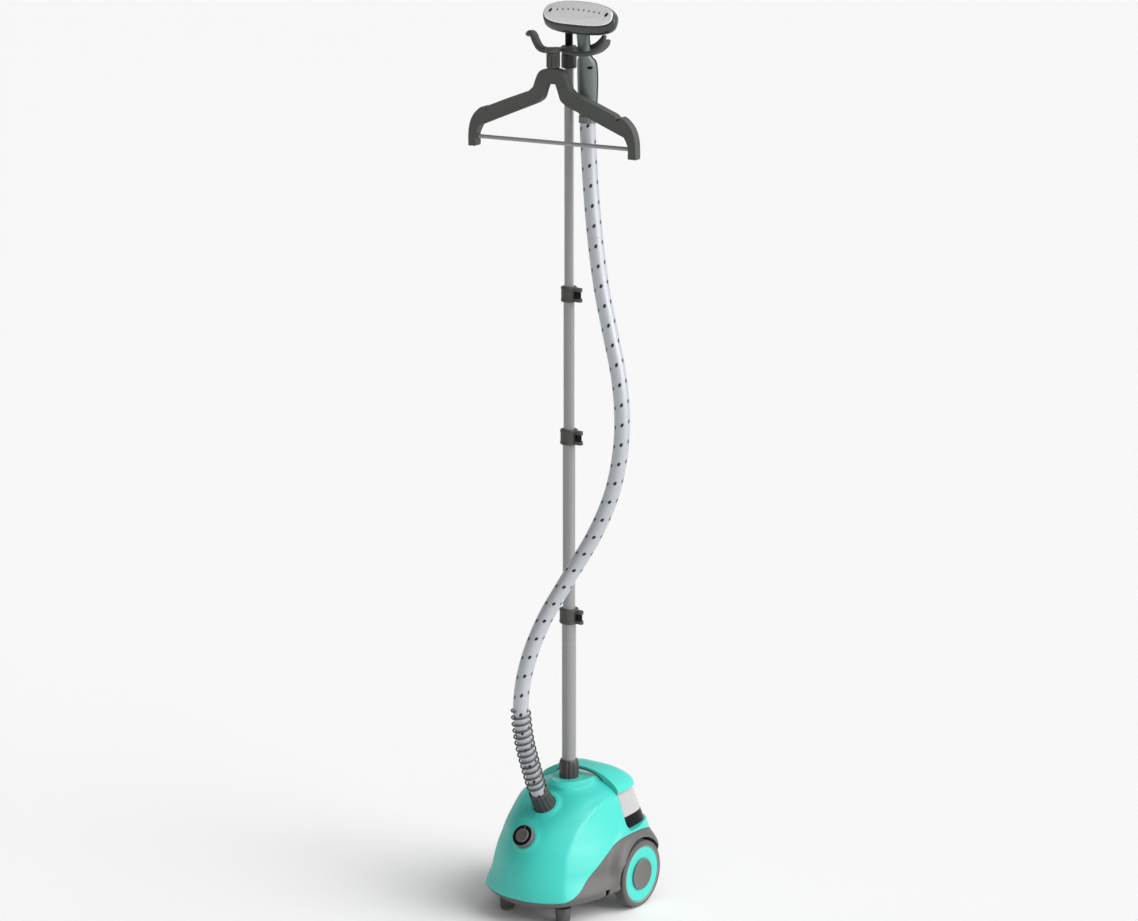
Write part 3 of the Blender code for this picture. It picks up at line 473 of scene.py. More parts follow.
def sweep(path, radius, steps=24, wide=1.0, side=None, power=2.0, taper=0.0):
    """A bar along a path: round, or wider along side, its ends drawn in by the taper."""
    rings = []
    last = len(path) - 1
    for i, (point, across, other) in enumerate(frames_along(path, side)):
        near_end = min(i, last - i) / max(1, last * 0.12)
        scale = 1 - taper * max(0, 1 - near_end) ** 2
        ring = []
        for angle in turns(steps):
            a = wide * signed_power(math.cos(angle), 2 / power) * scale
            b = signed_power(math.sin(angle), 2 / power) * scale
            ring.append(point + (across * a + other * b) * radius)
        rings.append(ring)
    return loft(rings)


def turns(count, shift=0.0):
    """Even angles round a full circle."""
    return [TAU * (i + shift) / count for i in range(count)]


def arc(radius, start, end, steps, x=0.0):
    """Points on an arc about a point of the first axis, between two angles in degrees."""
    angles = [math.radians(start + (end - start) * i / steps) for i in range(steps + 1)]
    return [(x + radius * math.cos(angle), radius * math.sin(angle)) for angle in angles]


def signed_power(value, power):
    """Keep the sign while raising the size to a power."""
    return math.copysign(abs(value) ** power, value)


def share_of(value, low, run):
    """How far a value is through a run from low, held between 0 and 1."""
    return min(1, max(0, (value - low) / run))


def step_between(value, low, high):
    """0 below low, 1 above high, and smooth between."""
    share = share_of(value, low, high - low)
    return share * share * (3 - 2 * share)


def finished(bm, name, angle=32):
    """Turn a bmesh into a smooth-shaded object."""
    bmesh.ops.recalc_face_normals(bm, faces=bm.faces)
    mesh = bpy.data.meshes.new(name)
    bm.to_mesh(mesh)
    bm.free()
    mesh.shade_smooth()
    mesh.set_sharp_from_angle(angle=math.radians(angle))
    return placed(name, mesh)


def stand(obj, origin, axis=UP):
    """Stand an object on an origin with its own Z along an axis."""
    obj.location = origin
    obj.rotation_euler = UP.rotation_difference(Vector(axis)).to_euler()
    return obj


def lathe(name, profile, origin, axis=UP, steps=56, flutes=None):
    """A turned piece, plain or fluted, that stands on an origin with its own Z along an axis."""
    bm = turned(profile, steps)
    if flutes:
        groove(bm, *flutes)
    return stand(finished(bm, name), origin, axis)


def combine(obj, helper, operation="DIFFERENCE", origin=(0, 0, 0), axis=UP):
    """Apply an exact Boolean with a helper, a bmesh or an object, which is thrown away."""
    if isinstance(helper, bmesh.types.BMesh):
        helper = stand(finished(helper, "helper"), origin, axis)
    step = obj.modifiers.new("cut", "BOOLEAN")
    step.operation = operation
    step.solver = "EXACT"
    step.object = helper
    bake(obj)
    bpy.data.objects.remove(helper, do_unlink=True)
    return obj


def bore(obj, radius, low, high, origin, axis=UP, steps=40):
    """Drill a round hole between two distances along an axis."""
    return combine(obj, rod(radius, low, high, steps), origin=origin, axis=axis)


def bake(obj, angle=32):
    """Bake an object's modifiers into its mesh."""
    bpy.context.view_layer.update()
    graph = bpy.context.evaluated_depsgraph_get()
    mesh = bpy.data.meshes.new_from_object(obj.evaluated_get(graph))
    obj.modifiers.clear()
    obj.data = mesh
    mesh.shade_smooth()
    mesh.set_sharp_from_angle(angle=math.radians(angle))
    mesh.materials.clear()


def rounded(obj, width, segments, limit):
    """Round an object's edges."""
    step = obj.modifiers.new("edges", "BEVEL")
    step.width = width
    step.segments = segments
    step.limit_method = "ANGLE"
    step.angle_limit = math.radians(limit)
    bake(obj, 50)
    obj.modifiers.new("flat faces", "WEIGHTED_NORMAL").keep_sharp = True
    return obj


def painted(obj, finish, *nodes):
    """Give a piece its material and slot, in place of the CAD nodes it stands for."""
    obj.data.materials.append(FINISH[finish])
    if nodes:
        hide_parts(*nodes)


def piece(obj, body, finish, *nodes):
    """A painted piece that moves with one body."""
    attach(obj, body)
    painted(obj, finish, *nodes)


# -------- casing form

BODY_LEVELS = (             # height, half width, reach ahead, reach behind, nose power
    (0.030, 0.084, 0.140, 0.100, 2.20),
    (0.036, 0.106, 0.153, 0.116, 2.30),
    (0.045, 0.122, 0.162, 0.126, 2.35),
    (0.056, 0.129, 0.165, 0.130, 2.30),
    (0.080, 0.122, 0.162, 0.130, 2.10),
    (0.103, 0.118, 0.157, 0.130, 2.05),
    (0.125, 0.111, 0.149, 0.1295, 2.10),
    (0.142, 0.104, 0.141, 0.1275, 2.10),
    (0.160, 0.097, 0.128, 0.1240, 2.20),
    (0.180, 0.090, 0.101, 0.1200, 2.40),
    (0.197, 0.083, 0.074, 0.1150, 2.70),
    (0.208, 0.072, 0.058, 0.1000, 2.70),
    (0.2170, 0.056, 0.047, 0.0720, 2.40),
    (0.2235, 0.044, 0.043, 0.0460, 2.10),
    (0.2290, 0.036, 0.036, 0.0380, 2.00),
)
EGG_Y, TAIL_POWER = 0.030, 4.0
WALL, TRAY_WALL = 0.0025, 0.003
INSET_FROM, INSET_RUN = 0.10, 0.08      # an inner skin sinks below the outer one over this height
FLARE, FLARE_FULL, FLARE_END = 0.013, 0.071, 0.092      # the casing swells round each wheel arch
FLARE_FROM_X, FLARE_RUN_X, FLARE_FROM_Z, FLARE_RUN_Z = 0.06, 0.03, 0.060, 0.035
RIM = (                     # the line where the casing meets the tray: y from the pole, z
    (-0.200, 0.050), (-0.140, 0.050), (-0.108, 0.064), (-0.080, 0.087), (-0.040, 0.114),
    (0.000, 0.133), (0.045, 0.1375), (0.085, 0.131), (0.112, 0.118), (0.150, 0.100),
)
RIM_GAP = 0.0004
SEAM_Y, DECK_Z = 0.032, 0.1405
CREASE = ((0.030, -54), (0.126, -51), (0.173, -41), (0.195, -28), (0.206, -8))   # height, degrees
CREASE_HEIGHT, CREASE_WIDTH, CREASE_FADE = 0.0040, 21, (0.196, 0.208)
MOAT_DEPTH, MOAT = 0.0013, (0.0425, 0.0465, 0.050, 0.070)   # shallow dip round the pole's hill
WHEEL = middle("rear_axle")
WHEEL_Y = WHEEL.y - POLE_Y
WELL_IN, WELL_R, WELL_WALL = 0.098, 0.066, 0.003
PORT_Z, DIAL_Z = 0.197, 0.154
COLLAR_R, DIAL_R = 0.0205, 0.0200
COLLAR_PLAY, DIAL_PLAY, SEAT_DEPTH = 0.0007, 0.0010, 0.0002
POLE_HOLE_R, PORT_HOLE_R, STEM_HOLE_R, VALVE_HOLE_R = 0.0155, 0.0163, 0.006, 0.0135
AXLE_HOLE_R, GLAND_HOLE_R = 0.0043, 0.0063


def front_point(z):
    """The casing's surface on the centre plane ahead of the pole, and its outward normal."""
    for (z0, _, y0, _, _), (z1, _, y1, _, _) in zip(BODY_LEVELS, BODY_LEVELS[1:]):
        if z0 <= z <= z1:
            share = (z - z0) / (z1 - z0)
            normal = Vector((0, -(z1 - z0), y0 - y1)).normalized()
            return at(0, -(y0 + (y1 - y0) * share), z), normal
    raise ValueError("no casing at this height")


PORT, PORT_WAY = front_point(PORT_Z)
DIAL, DIAL_WAY = front_point(DIAL_Z)
BOSS_BAND = 0.02            # a boss lifts the skin only this near its own plane
BOSSES = (                  # centre, axis, inner and outer radius, height
    (PORT, PORT_WAY, 0.0235, 0.0330, 0.0030),
    (DIAL, DIAL_WAY, 0.0225, 0.0275, 0.0016),
)


def level_at(table, z):
    """Straight interpolation in a table of (height, value)."""
    for (z0, a), (z1, b) in zip(table, table[1:]):
        if z <= z1:
            return a + (b - a) * max(0, (z - z0) / (z1 - z0))
    return table[-1][1]


def arch_flare(point):
    """How far the casing swells sideways round a wheel arch at this point."""
    radius = math.hypot(point.y - WHEEL_Y, point.z - WHEEL.z)
    share = share_of(FLARE_END - radius, 0, FLARE_END - FLARE_FULL)
    side = share_of(abs(point.x), FLARE_FROM_X, FLARE_RUN_X)
    low = share_of(point.z, FLARE_FROM_Z, FLARE_RUN_Z)
    return FLARE * share * share * (3 - 2 * share) * side * low


def ring_point(angle, z, half_width, front, rear, power):
    """A point of the casing's outline at one height, from the pole's axis."""
    ahead = math.sin(angle) < 0
    curl = 2 / (power if ahead else TAIL_POWER)
    reach = front + EGG_Y if ahead else rear - EGG_Y
    x = half_width * signed_power(math.cos(angle), curl)
    return Vector((x, EGG_Y + reach * signed_power(math.sin(angle), curl), z))


def crease_lift(angle, z):
    """Height of the crease that parts the front face from each side face."""
    degrees = math.degrees(math.asin(max(-1, min(1, math.sin(angle)))))
    away = abs(degrees - level_at(CREASE, z)) / CREASE_WIDTH
    if math.sin(angle) >= 0 or away >= 1:
        return 0.0
    return CREASE_HEIGHT * (1 - away) ** 2 * (1 - step_between(z, *CREASE_FADE))


def boss_lift(point, centre, axis, inner, outer, height):
    """Height of a round rim that stands round a fitting."""
    offset = point - centre
    along = offset.dot(axis)
    if abs(along) > BOSS_BAND:
        return 0.0
    radius = (offset - axis * along).length
    return height * (1 - step_between(radius, inner, outer))


def detailed(point, angle, z):
    """A point of the outer skin, with the crease, the dip round the pole and the bosses."""
    point += Vector((math.cos(angle), math.sin(angle), 0)) * crease_lift(angle, z)
    radius = math.hypot(point.x, point.y)
    start, full, fade, end = MOAT
    point.z -= MOAT_DEPTH * step_between(radius, start, full) * (1 - step_between(radius, fade, end))
    world = at(*point)
    for boss in BOSSES:
        world += boss[1] * boss_lift(world, *boss)
    return world


def casing(inset=0.0, detail=True):
    """The whole casing as a solid, drawn in by an inset; only the outer skin has detail."""
    rings = []
    level_steps, ring_steps = (6, 200) if detail else (2, 60)
    levels = smooth_curve(BODY_LEVELS, level_steps)
    for z, half_width, front, rear, power in levels:
        height = z - inset * share_of(z, INSET_FROM, INSET_RUN) + (inset if z == levels[0][0] else 0)
        ring = []
        for angle in turns(ring_steps, 0.5):
            point = ring_point(angle, height, half_width - inset, front - inset, rear - inset, power)
            point.x += math.copysign(arch_flare(point), point.x)
            ring.append(detailed(point, angle, z) if detail else at(*point))
        rings.append(ring)
    return loft(rings)


def all_behind(y, low, high):
    """A cutter for everything behind a line across the base, between two heights."""
    return block(at(-FAR, y, low), at(FAR, FAR, high))


def rim_prism(lift):
    """A cutter for everything above the rim line; lift moves the line up."""
    outline = [(POLE_Y + y, z + lift) for y, z in smooth_curve(RIM, 6)]
    outline += [(POLE_Y + RIM[-1][0], 0.35), (POLE_Y + RIM[0][0], 0.35)]
    return prism(outline, -FAR, FAR)


def main_shell():
    """Upper casing: the bay for the tank, and seats for the collar, dial, pole and valve."""
    shell = finished(casing(), "shell_skin")
    cavity = finished(casing(WALL, detail=False), "cavity")
    combine(cavity, all_behind(SEAM_Y - WALL, DECK_Z - WALL, OVER_CASING))
    combine(shell, cavity)
    combine(shell, all_behind(SEAM_Y, DECK_Z, OVER_CASING))
    combine(shell, rim_prism(RIM_GAP), "INTERSECT")
    bore(shell, POLE_HOLE_R, 0.19, 0.24, POLE)
    for centre, way, hole, seat in ((PORT, PORT_WAY, PORT_HOLE_R, COLLAR_R + COLLAR_PLAY),
                                    (DIAL, DIAL_WAY, STEM_HOLE_R, DIAL_R + DIAL_PLAY)):
        bore(shell, hole, -0.02, 0.02, centre, way)
        bore(shell, seat, SEAT_DEPTH, 0.03, centre, way, 64)
    bore(shell, VALVE_HOLE_R, 0.12, 0.15, floor_below("valve_seat"))
    piece(shell, "base", "mint", "main_shell")


def base_tray():
    """Lower tray: grey tub with wheel wells, side slots and a stepped rim."""
    tray = finished(casing(), "tray_skin")
    cavity = finished(casing(TRAY_WALL, detail=False), "cavity")
    for side in (-1, 1):
        hub = at(side * (WELL_IN - WELL_WALL), WHEEL_Y, WHEEL.z)
        bore(cavity, WELL_R + WELL_WALL, 0, 0.06, hub, (side, 0, 0), 72)
    combine(tray, cavity)
    combine(tray, rim_prism(-RIM_GAP))
    for side in (-1, 1):
        bore(tray, WELL_R, 0, 0.06, at(side * WELL_IN, WHEEL_Y, WHEEL.z), (side, 0, 0), 72)
        slot, half = at(side * 0.123, -0.053, 0.052), Vector((0.016, 0.005, 0.006))
        combine(tray, block(slot - half, slot + half))
    bore(tray, AXLE_HOLE_R, -0.11, 0.11, WHEEL, ACROSS)
    for node, radius in (("base_screw_left", 0.0022), ("base_screw_right", 0.0022), ("drain_plug", 0.0053)):
        bore(tray, radius, 0.02, 0.04, floor_below(node))
    bore(tray, GLAND_HOLE_R, -0.03, 0.03, middle("cord_gland"), (0, 1, 0))
    piece(tray, "base", "warm_grey", "base_tray")


# -------- running gear and small parts

WHEEL_PARTS = (             # name, whether it stands for a CAD node, finish, turned profile
    ("tyre", True, "tyre", (
        (0.0512, 0.1045), (0.0512, 0.1280), (0.0530, 0.1287), (0.0566, 0.1282), (0.0592, 0.1262),
        (0.0600, 0.1235), (0.0600, 0.1095), (0.0590, 0.1060), (0.0560, 0.1036))),
    ("wheel_lip", False, "tyre_lip", (
        (0.0499, 0.1180), (0.0499, 0.1276), (0.0503, 0.1284), (0.0509, 0.1284), (0.0510, 0.1276),
        (0.0510, 0.1180))),
    ("wheel_disc", True, "mint", (
        (0.00435, 0.1045), (0.00435, 0.1255), (0.0282, 0.1255), (0.0290, 0.1263), (0.0330, 0.1268),
        (0.0410, 0.1268), (0.0470, 0.1276), (0.0486, 0.1272), (0.0497, 0.1258), (0.0497, 0.1075),
        (0.012, 0.1075), (0.012, 0.1045))),
    ("hub_cap", True, "hub_grey", (
        (0, 0.1264), (0.0279, 0.1264), (0.0281, 0.1290), (0.0276, 0.1299), (0.0264, 0.1302),
        (0.0250, 0.1296), (0.0140, 0.1293), (0, 0.1292))),
)


DIAL_PARTS = (              # node, finish, steps round it, flutes, turned profile
    ("dial_knob", "warm_grey", 180, (30, 0.0006, 0.0015, 0.0112), (
        (0, -0.0110), (0.003, -0.0110), (0.003, 0.0010), (0.0192, 0.0010), (DIAL_R, 0.0018),
        (DIAL_R, 0.0040), (DIAL_R, 0.0070), (DIAL_R, 0.0100), (0.0197, 0.0114), (0.0192, 0.0122),
        (0.0187, 0.0121), (0.0185, 0.0105), (0, 0.0105))),
    ("dial_ring", "black", 72, None, (
        (0.0128, 0.0108), (0.0128, 0.0120), (0.0136, 0.0126), (0.0168, 0.0127), (0.0181, 0.0122),
        (0.0182, 0.0108))),
    ("dial_cap", "warm_grey", 72, None, (
        (0, 0.0108), (0.0125, 0.0108), (0.0125, 0.0128), (0.0120, 0.0135), (0.0108, 0.0137),
        (0.0070, 0.0133), (0, 0.0130))),
)


def feet():
    """Front feet: tapered plastic with a rubber sole."""
    for word in ("left", "right"):
        node = f"front_foot_{word}"
        top = high_of(node).z
        foot = ((0, 0.0050), (0.0121, 0.0050), (0.0127, 0.0056), (0.0143, top - 0.001), (0.0138, top),
                (0, top))
        piece(lathe(f"foot_{word}_body", foot, floor_below(node)), "base", "dark_grey", node)
        sole = ((0, 0), (0.0105, 0), (0.0119, 0.0012), (0.0121, 0.0046), (0, 0.0046))
        piece(lathe(f"foot_{word}_sole", sole, floor_below(node)), "base", "tyre")


def wheels():
    """Tyre with a pale lip, dished mint disc and grey hub cap on each side."""
    for side, word in ((-1, "left"), (1, "right")):
        for name, in_cad, finish, profile in WHEEL_PARTS:
            obj = lathe(f"{name}_{word}_skin", profile, WHEEL, (side, 0, 0), 96)
            nodes = [f"{name}_{word}"] if in_cad else []
            piece(obj, f"wheel_{word}", finish, *nodes)


def hose_port():
    """The fluted collar that the hose plugs into."""
    tip_r, foot_r = 0.0178, COLLAR_R - 0.0003
    rows = [(0.0142, 0.006), (0.0142, 0.036), (0.0150, 0.0366), (0.0172, 0.0366), (tip_r, 0.0358)]
    rows += [(tip_r + (foot_r - tip_r) * (i / 12), 0.0345 - 0.0320 * (i / 12)) for i in range(13)]
    rows += [(COLLAR_R, 0.0012), (foot_r, 0.0006), (0.0158, 0.0006), (0.0158, -0.0125), (0.006, -0.0125),
             (0.006, 0.006)]
    collar = lathe("hose_collar_skin", rows, PORT, PORT_WAY, 168, (14, 0.0014, 0.004, 0.0335))
    piece(collar, "base", "dark_grey", "hose_collar")


def dial():
    """Steam dial: ribbed knob, black ring, dished cap and a small mark on the ring."""
    for node, finish, steps, flutes, profile in DIAL_PARTS:
        piece(lathe(f"{node}_skin", profile, DIAL, DIAL_WAY, steps, flutes), "dial", finish, node)
    mark = finished(block((-0.0006, 0.0140, 0.0), (0.0006, 0.0168, 0.00035)), "dial_mark")
    piece(stand(mark, DIAL + DIAL_WAY * 0.01272, DIAL_WAY), "dial", "hub_grey")


# -------- tank

TANK_INSET, TANK_GAP, TANK_WALL = 0.0030, 0.0006, 0.0025
TANK_BASE_TOP, TANK_WINDOW_TOP = 0.160, 0.2035
GASKET_PROUD, GASKET_END = 0.0007, 0.0032
ARCH_LEVELS = (             # height, half width, reach behind the pole
    (0.2038, 0.0835, 0.1150),
    (0.2120, 0.0800, 0.1120),
    (0.2210, 0.0700, 0.1040),
    (0.2300, 0.0540, 0.0920),
    (0.2365, 0.0350, 0.0760),
    (0.2395, 0.0150, 0.0600),
)
LID_FOOT = (0.2035, 0.0815, 0.1130)     # the lid's lower edge, drawn in a little
SLOT_HALF, SLOT_LOW, SLOT_SIDE, SLOT_TOP = 0.050, 0.2135, 0.2190, 0.2360
ROOF_HALF, ROOF_END, ROOF_CORNER_X, ROOF_CORNER_Y = 0.0405, 0.1035, 0.030, 0.096


def tank_form(inset, bottom, top, start):
    """The casing's outline behind the seam, between two heights, without flares or creases."""
    rings = [[at(*ring_point(angle, z, half_width - inset, front - inset, rear - inset, power))
              for angle in turns(140, 0.5)]
             for z, half_width, front, rear, power in smooth_curve(BODY_LEVELS, 5)]
    form = finished(loft(rings), "tank_form")
    return combine(form, all_behind(SEAM_Y + start, bottom, top), "INTERSECT")


def hollowed(name, bottom, top, floor, roof):
    """A slice of the tank's outline with its inside taken out."""
    outer = tank_form(TANK_INSET, bottom, top, TANK_GAP)
    combine(outer, tank_form(TANK_INSET + TANK_WALL, bottom + floor, top + roof, TANK_GAP + TANK_WALL))
    outer.name = name
    return outer


def slot_arch(start, end, steps):
    """The hand slot's arch in X and Z, between two shares of a half turn."""
    angles = [math.pi * (start + (end - start) * i / steps) for i in range(steps + 1)]
    return [(SLOT_HALF * math.cos(a), SLOT_SIDE + (SLOT_TOP - SLOT_SIDE) * math.sin(a)) for a in angles]


def tank():
    """Lift-out tank: black foot, clear window, black gasket and the parts of its top."""
    foot = hollowed("tank_foot", DECK_Z + GAP, TANK_BASE_TOP, 0.003, 0.01)
    bore(foot, 0.0150, 0.13, 0.15, floor_below("tank_cap"))
    piece(foot, "tank", "black", "tank_base")
    window = hollowed("tank_glass", TANK_BASE_TOP + GAP, TANK_WINDOW_TOP, -0.01, 0.01)
    piece(window, "tank", "clear", "tank_window")
    piece(tank_top(), "tank", "mint", "tank_top")
    gasket = tank_form(TANK_INSET - GASKET_PROUD, TANK_BASE_TOP, TANK_WINDOW_TOP, TANK_GAP)
    combine(gasket, all_behind(SEAM_Y + GASKET_END, 0, OVER_CASING))
    combine(gasket, tank_form(TANK_INSET + 0.0030, TANK_BASE_TOP - 0.01, TANK_WINDOW_TOP + 0.01, -0.01))
    gasket.name = "tank_gasket"
    piece(gasket, "tank", "black")
    # a thin black bar along the front lower edge of the hand slot's arch
    edge = [at(x, SEAM_Y + 0.0016, z - 0.0013) for x, z in slot_arch(0.02, 0.98, 48)]
    piece(finished(sweep(edge, 0.0012, steps=10), "tank_slot_edge_bar"), "tank", "black")
    piece(tank_roof(), "tank", "frosted")


def tank_top():
    """The tank's mint top: a dome behind the seam, cut by the hand slot."""
    rings = [[at(*ring_point(angle, z, half, rear, rear, TAIL_POWER)) for angle in turns(160, 0.5)]
             for z, half, rear in (LID_FOOT, *smooth_curve(ARCH_LEVELS, 6))]
    top = finished(loft(rings), "tank_lid")
    combine(top, all_behind(SEAM_Y + TANK_GAP, 0.20, 0.26), "INTERSECT")
    shoulder = SLOT_HALF - 0.004
    outline = [(shoulder, SLOT_LOW), *slot_arch(0, 1, 40), (-shoulder, SLOT_LOW)]
    combine(top, prism(outline, -0.05, 0.25, "Y"))
    return rounded(top, 0.0009, 2, 55)


def tank_roof():
    """Frosted roof plate that shows through the hand slot."""
    rings = []
    for inset, lift in ((0.0, GAP), (0.0, 0.0016), (0.0012, 0.0024)):
        half, front = ROOF_HALF - inset, SEAM_Y + 0.0012 + inset
        right = [(half, front), (half, ROOF_CORNER_Y - inset), (ROOF_CORNER_X, ROOF_END - inset)]
        left = [(-x, y) for x, y in reversed(right)]
        rings.append([at(x, y, SLOT_LOW + lift) for x, y in right + left])
    return finished(loft(rings), "tank_roof")


# -------- pole

TUBES = ("pole_tube_1", "pole_tube_2", "pole_tube_3", "pole_tube_4")
TUBE_BODIES = ("base", "pole_2", "pole_3", "pole_head")
TUBE_WALL = 0.0011
CLAMP_DOWN, CLAMP_UP, CLAMP_WALL = 0.014, 0.012, 0.0045
EAR_T, EAR_INSET, EAR_R = 0.006, 0.001, 0.0045
PIN_R, PIN_OUT, PIN_PLAY = 0.0015, 0.0065, 0.0002
CAM_R = 0.0048


def tube_radius(node):
    """Outer radius of a pole tube."""
    return (high_of(node).x - low_of(node).x) / 2


def pole():
    """Four chrome tubes with rolled ends, the fluted socket and the three clamps."""
    for node, body in zip(TUBES, TUBE_BODIES):
        radius = tube_radius(node)
        low, high = low_of(node).z, high_of(node).z
        inner = radius - TUBE_WALL
        tube = ((inner, low), (inner, high), (radius - 0.0004, high), (radius, high - 0.0004), (radius, low))
        piece(lathe(f"{node}_skin", tube, POLE, steps=64), body, "chrome", node)
    foot, top = low_of("pole_socket").z, high_of("pole_socket").z
    rows = [(0.0060, foot), (0.0060, foot + 0.003), (0.0128, foot + 0.003), (0.0128, top),
            (0.0146, top), (0.0156, top - 0.0012),
            (0.0167, 0.2585), (0.0176, 0.2530), (0.0178, 0.2480), (0.0176, 0.2430), (0.0173, 0.2380),
            (0.0172, 0.2330), (0.0172, 0.2305),
            (0.0170, 0.2295), (0.0152, 0.2295), (0.0152, foot)]
    socket = lathe("pole_socket_skin", rows, POLE, UP, 144, (12, 0.0016, 0.2300, 0.2605))
    piece(socket, "base", "dark_grey", "pole_socket")
    for number in (1, 2, 3):
        clamp(number)


def clamp(number):
    """One clamp: collar with a raised band, two rounded ears, a pin and the cam lever."""
    body = TUBE_BODIES[number - 1]
    radius = tube_radius(TUBES[number - 1])
    z = high_of(TUBES[number - 1]).z
    outer = radius + CLAMP_WALL
    pin_x = outer + PIN_OUT
    pin_at = at(pin_x, 0, z)
    upper, lower = tube_radius(TUBES[number]) + GAP, radius + GAP
    band = ((0.0012, 0), (0.0003, 0.0008), (0, 0.0018), (0, 0.0040), (0.0006, 0.0046))  # inward, from the end
    rows = [(upper, GAP), (upper, CLAMP_UP)]
    rows += [(outer - inward, CLAMP_UP - step) for inward, step in band]
    rows += [(outer - inward, step - CLAMP_DOWN) for inward, step in reversed(band)]
    rows += [(lower, -CLAMP_DOWN), (lower, GAP)]
    collar = lathe(f"clamp_{number}_skin", rows, at(0, 0, z), steps=64)
    ear = [(outer - 0.003, -EAR_R), *arc(EAR_R, -90, 90, 12, pin_x + 0.0020), (outer - 0.003, EAR_R)]
    for low in (CLAMP_UP - EAR_T - EAR_INSET, EAR_INSET - CLAMP_DOWN):
        combine(collar, prism(ear, low, low + EAR_T, "Z"), "UNION", at(0, 0, z))
    bore(collar, PIN_R + PIN_PLAY, -0.03, 0.03, pin_at)
    piece(rounded(collar, 0.0005, 2, 55), body, "hanger_grey", f"clamp_{number}")
    pin = ((0, 0.0016 - CLAMP_DOWN), (0.0011, 0.0016 - CLAMP_DOWN), (PIN_R, 0.0020 - CLAMP_DOWN),
           (PIN_R, CLAMP_UP - 0.0020), (0.0011, CLAMP_UP - 0.0016), (0, CLAMP_UP - 0.0016))
    piece(lathe(f"lever_pin_{number}_skin", pin, pin_at, steps=24), body, "steel", f"lever_pin_{number}")
    low, high = EAR_T + EAR_INSET + GAP - CLAMP_DOWN, CLAMP_UP - EAR_T - EAR_INSET - GAP
    lever = finished(prism(lever_outline(outer, pin_x), low, high, "Z"), f"lever_{number}_skin")
    bore(stand(lever, pin_at), PIN_R + PIN_PLAY, -0.03, 0.03, pin_at)
    piece(rounded(lever, 0.0005, 2, 60), f"lever_{number}", "black", f"lever_{number}")


def lever_outline(outer, pin_x):
    """A cam round the pin, and an arm that wraps the back of the collar; pin at the origin."""
    far, near = (arc(outer + lift, 24, 110, 24) for lift in (0.0042, 0.0010))
    wrap = [(x - pin_x, y) for x, y in far + near[::-1]]
    return arc(CAM_R, 150, 360, 24) + wrap


# -------- pole head and hanger

HANGER = at(0, middle("hanger_barrel").y - POLE_Y, 0)
HANGER_Y = HANGER.y - POLE_Y
HANGER_HALF_DEPTH = 0.009
BARREL_LOW, BARREL_HIGH = low_of("hanger_barrel").z, high_of("hanger_barrel").z
HANGER_TURN = math.radians(6.5)
BAR_REACH = 0.1448
HEAD_TOP = 1.5245
FORK_Y, FORK_HALF, SLIM = -0.0155, 0.0200, 1.15
STRAP_STEP = 0.003
PRONGS = ((-1, 0.107, 3.0), (1, 0.070, SLIM))       # side, reach, width against thickness
HOOK = (                    # x, y from the pole, z
    (-0.004, -0.024, 1.5200), (-0.028, -0.020, 1.5165), (-0.044, -0.020, 1.5190),
    (-0.053, -0.020, 1.5300), (-0.059, -0.020, 1.5410), (-0.066, -0.020, 1.5430),
    (-0.070, -0.020, 1.5390),
)
SHOULDER = (                # the hanger's upper edge from its middle outward: x, z
    (0.0000, 1.4915), (0.0125, 1.4905), (0.0225, 1.4850), (0.0290, 1.4730), (0.0340, 1.4590),
    (0.0420, 1.4520), (0.1190, 1.4220), (0.1220, 1.4130),
    (0.1280, 1.4130), (0.1310, 1.4190), (0.1415, 1.4130), (0.1525, 1.4000), (0.1590, 1.3800),
    (0.1600, 1.3520), (0.1580, 1.3500),
)
UNDERSIDE = (               # the hanger's lower edge from its tip inward: x, z
    (0.1470, 1.3500), (0.1455, 1.3530), (0.1455, 1.3710), (0.1380, 1.3860),
    (0.0290, 1.4310), (0.0185, 1.4390), (0.0130, 1.4540), (0.0085, 1.4660),
)


def strap(points, radius, wide, power):
    """A flat bar with rounded edges and ends along a smooth curve, wide along Y."""
    curve = spline([at(*point) for point in points], STRAP_STEP)
    return sweep(curve, radius, steps=32, wide=wide, side=Vector((0, 1, 0)), power=power, taper=0.3)


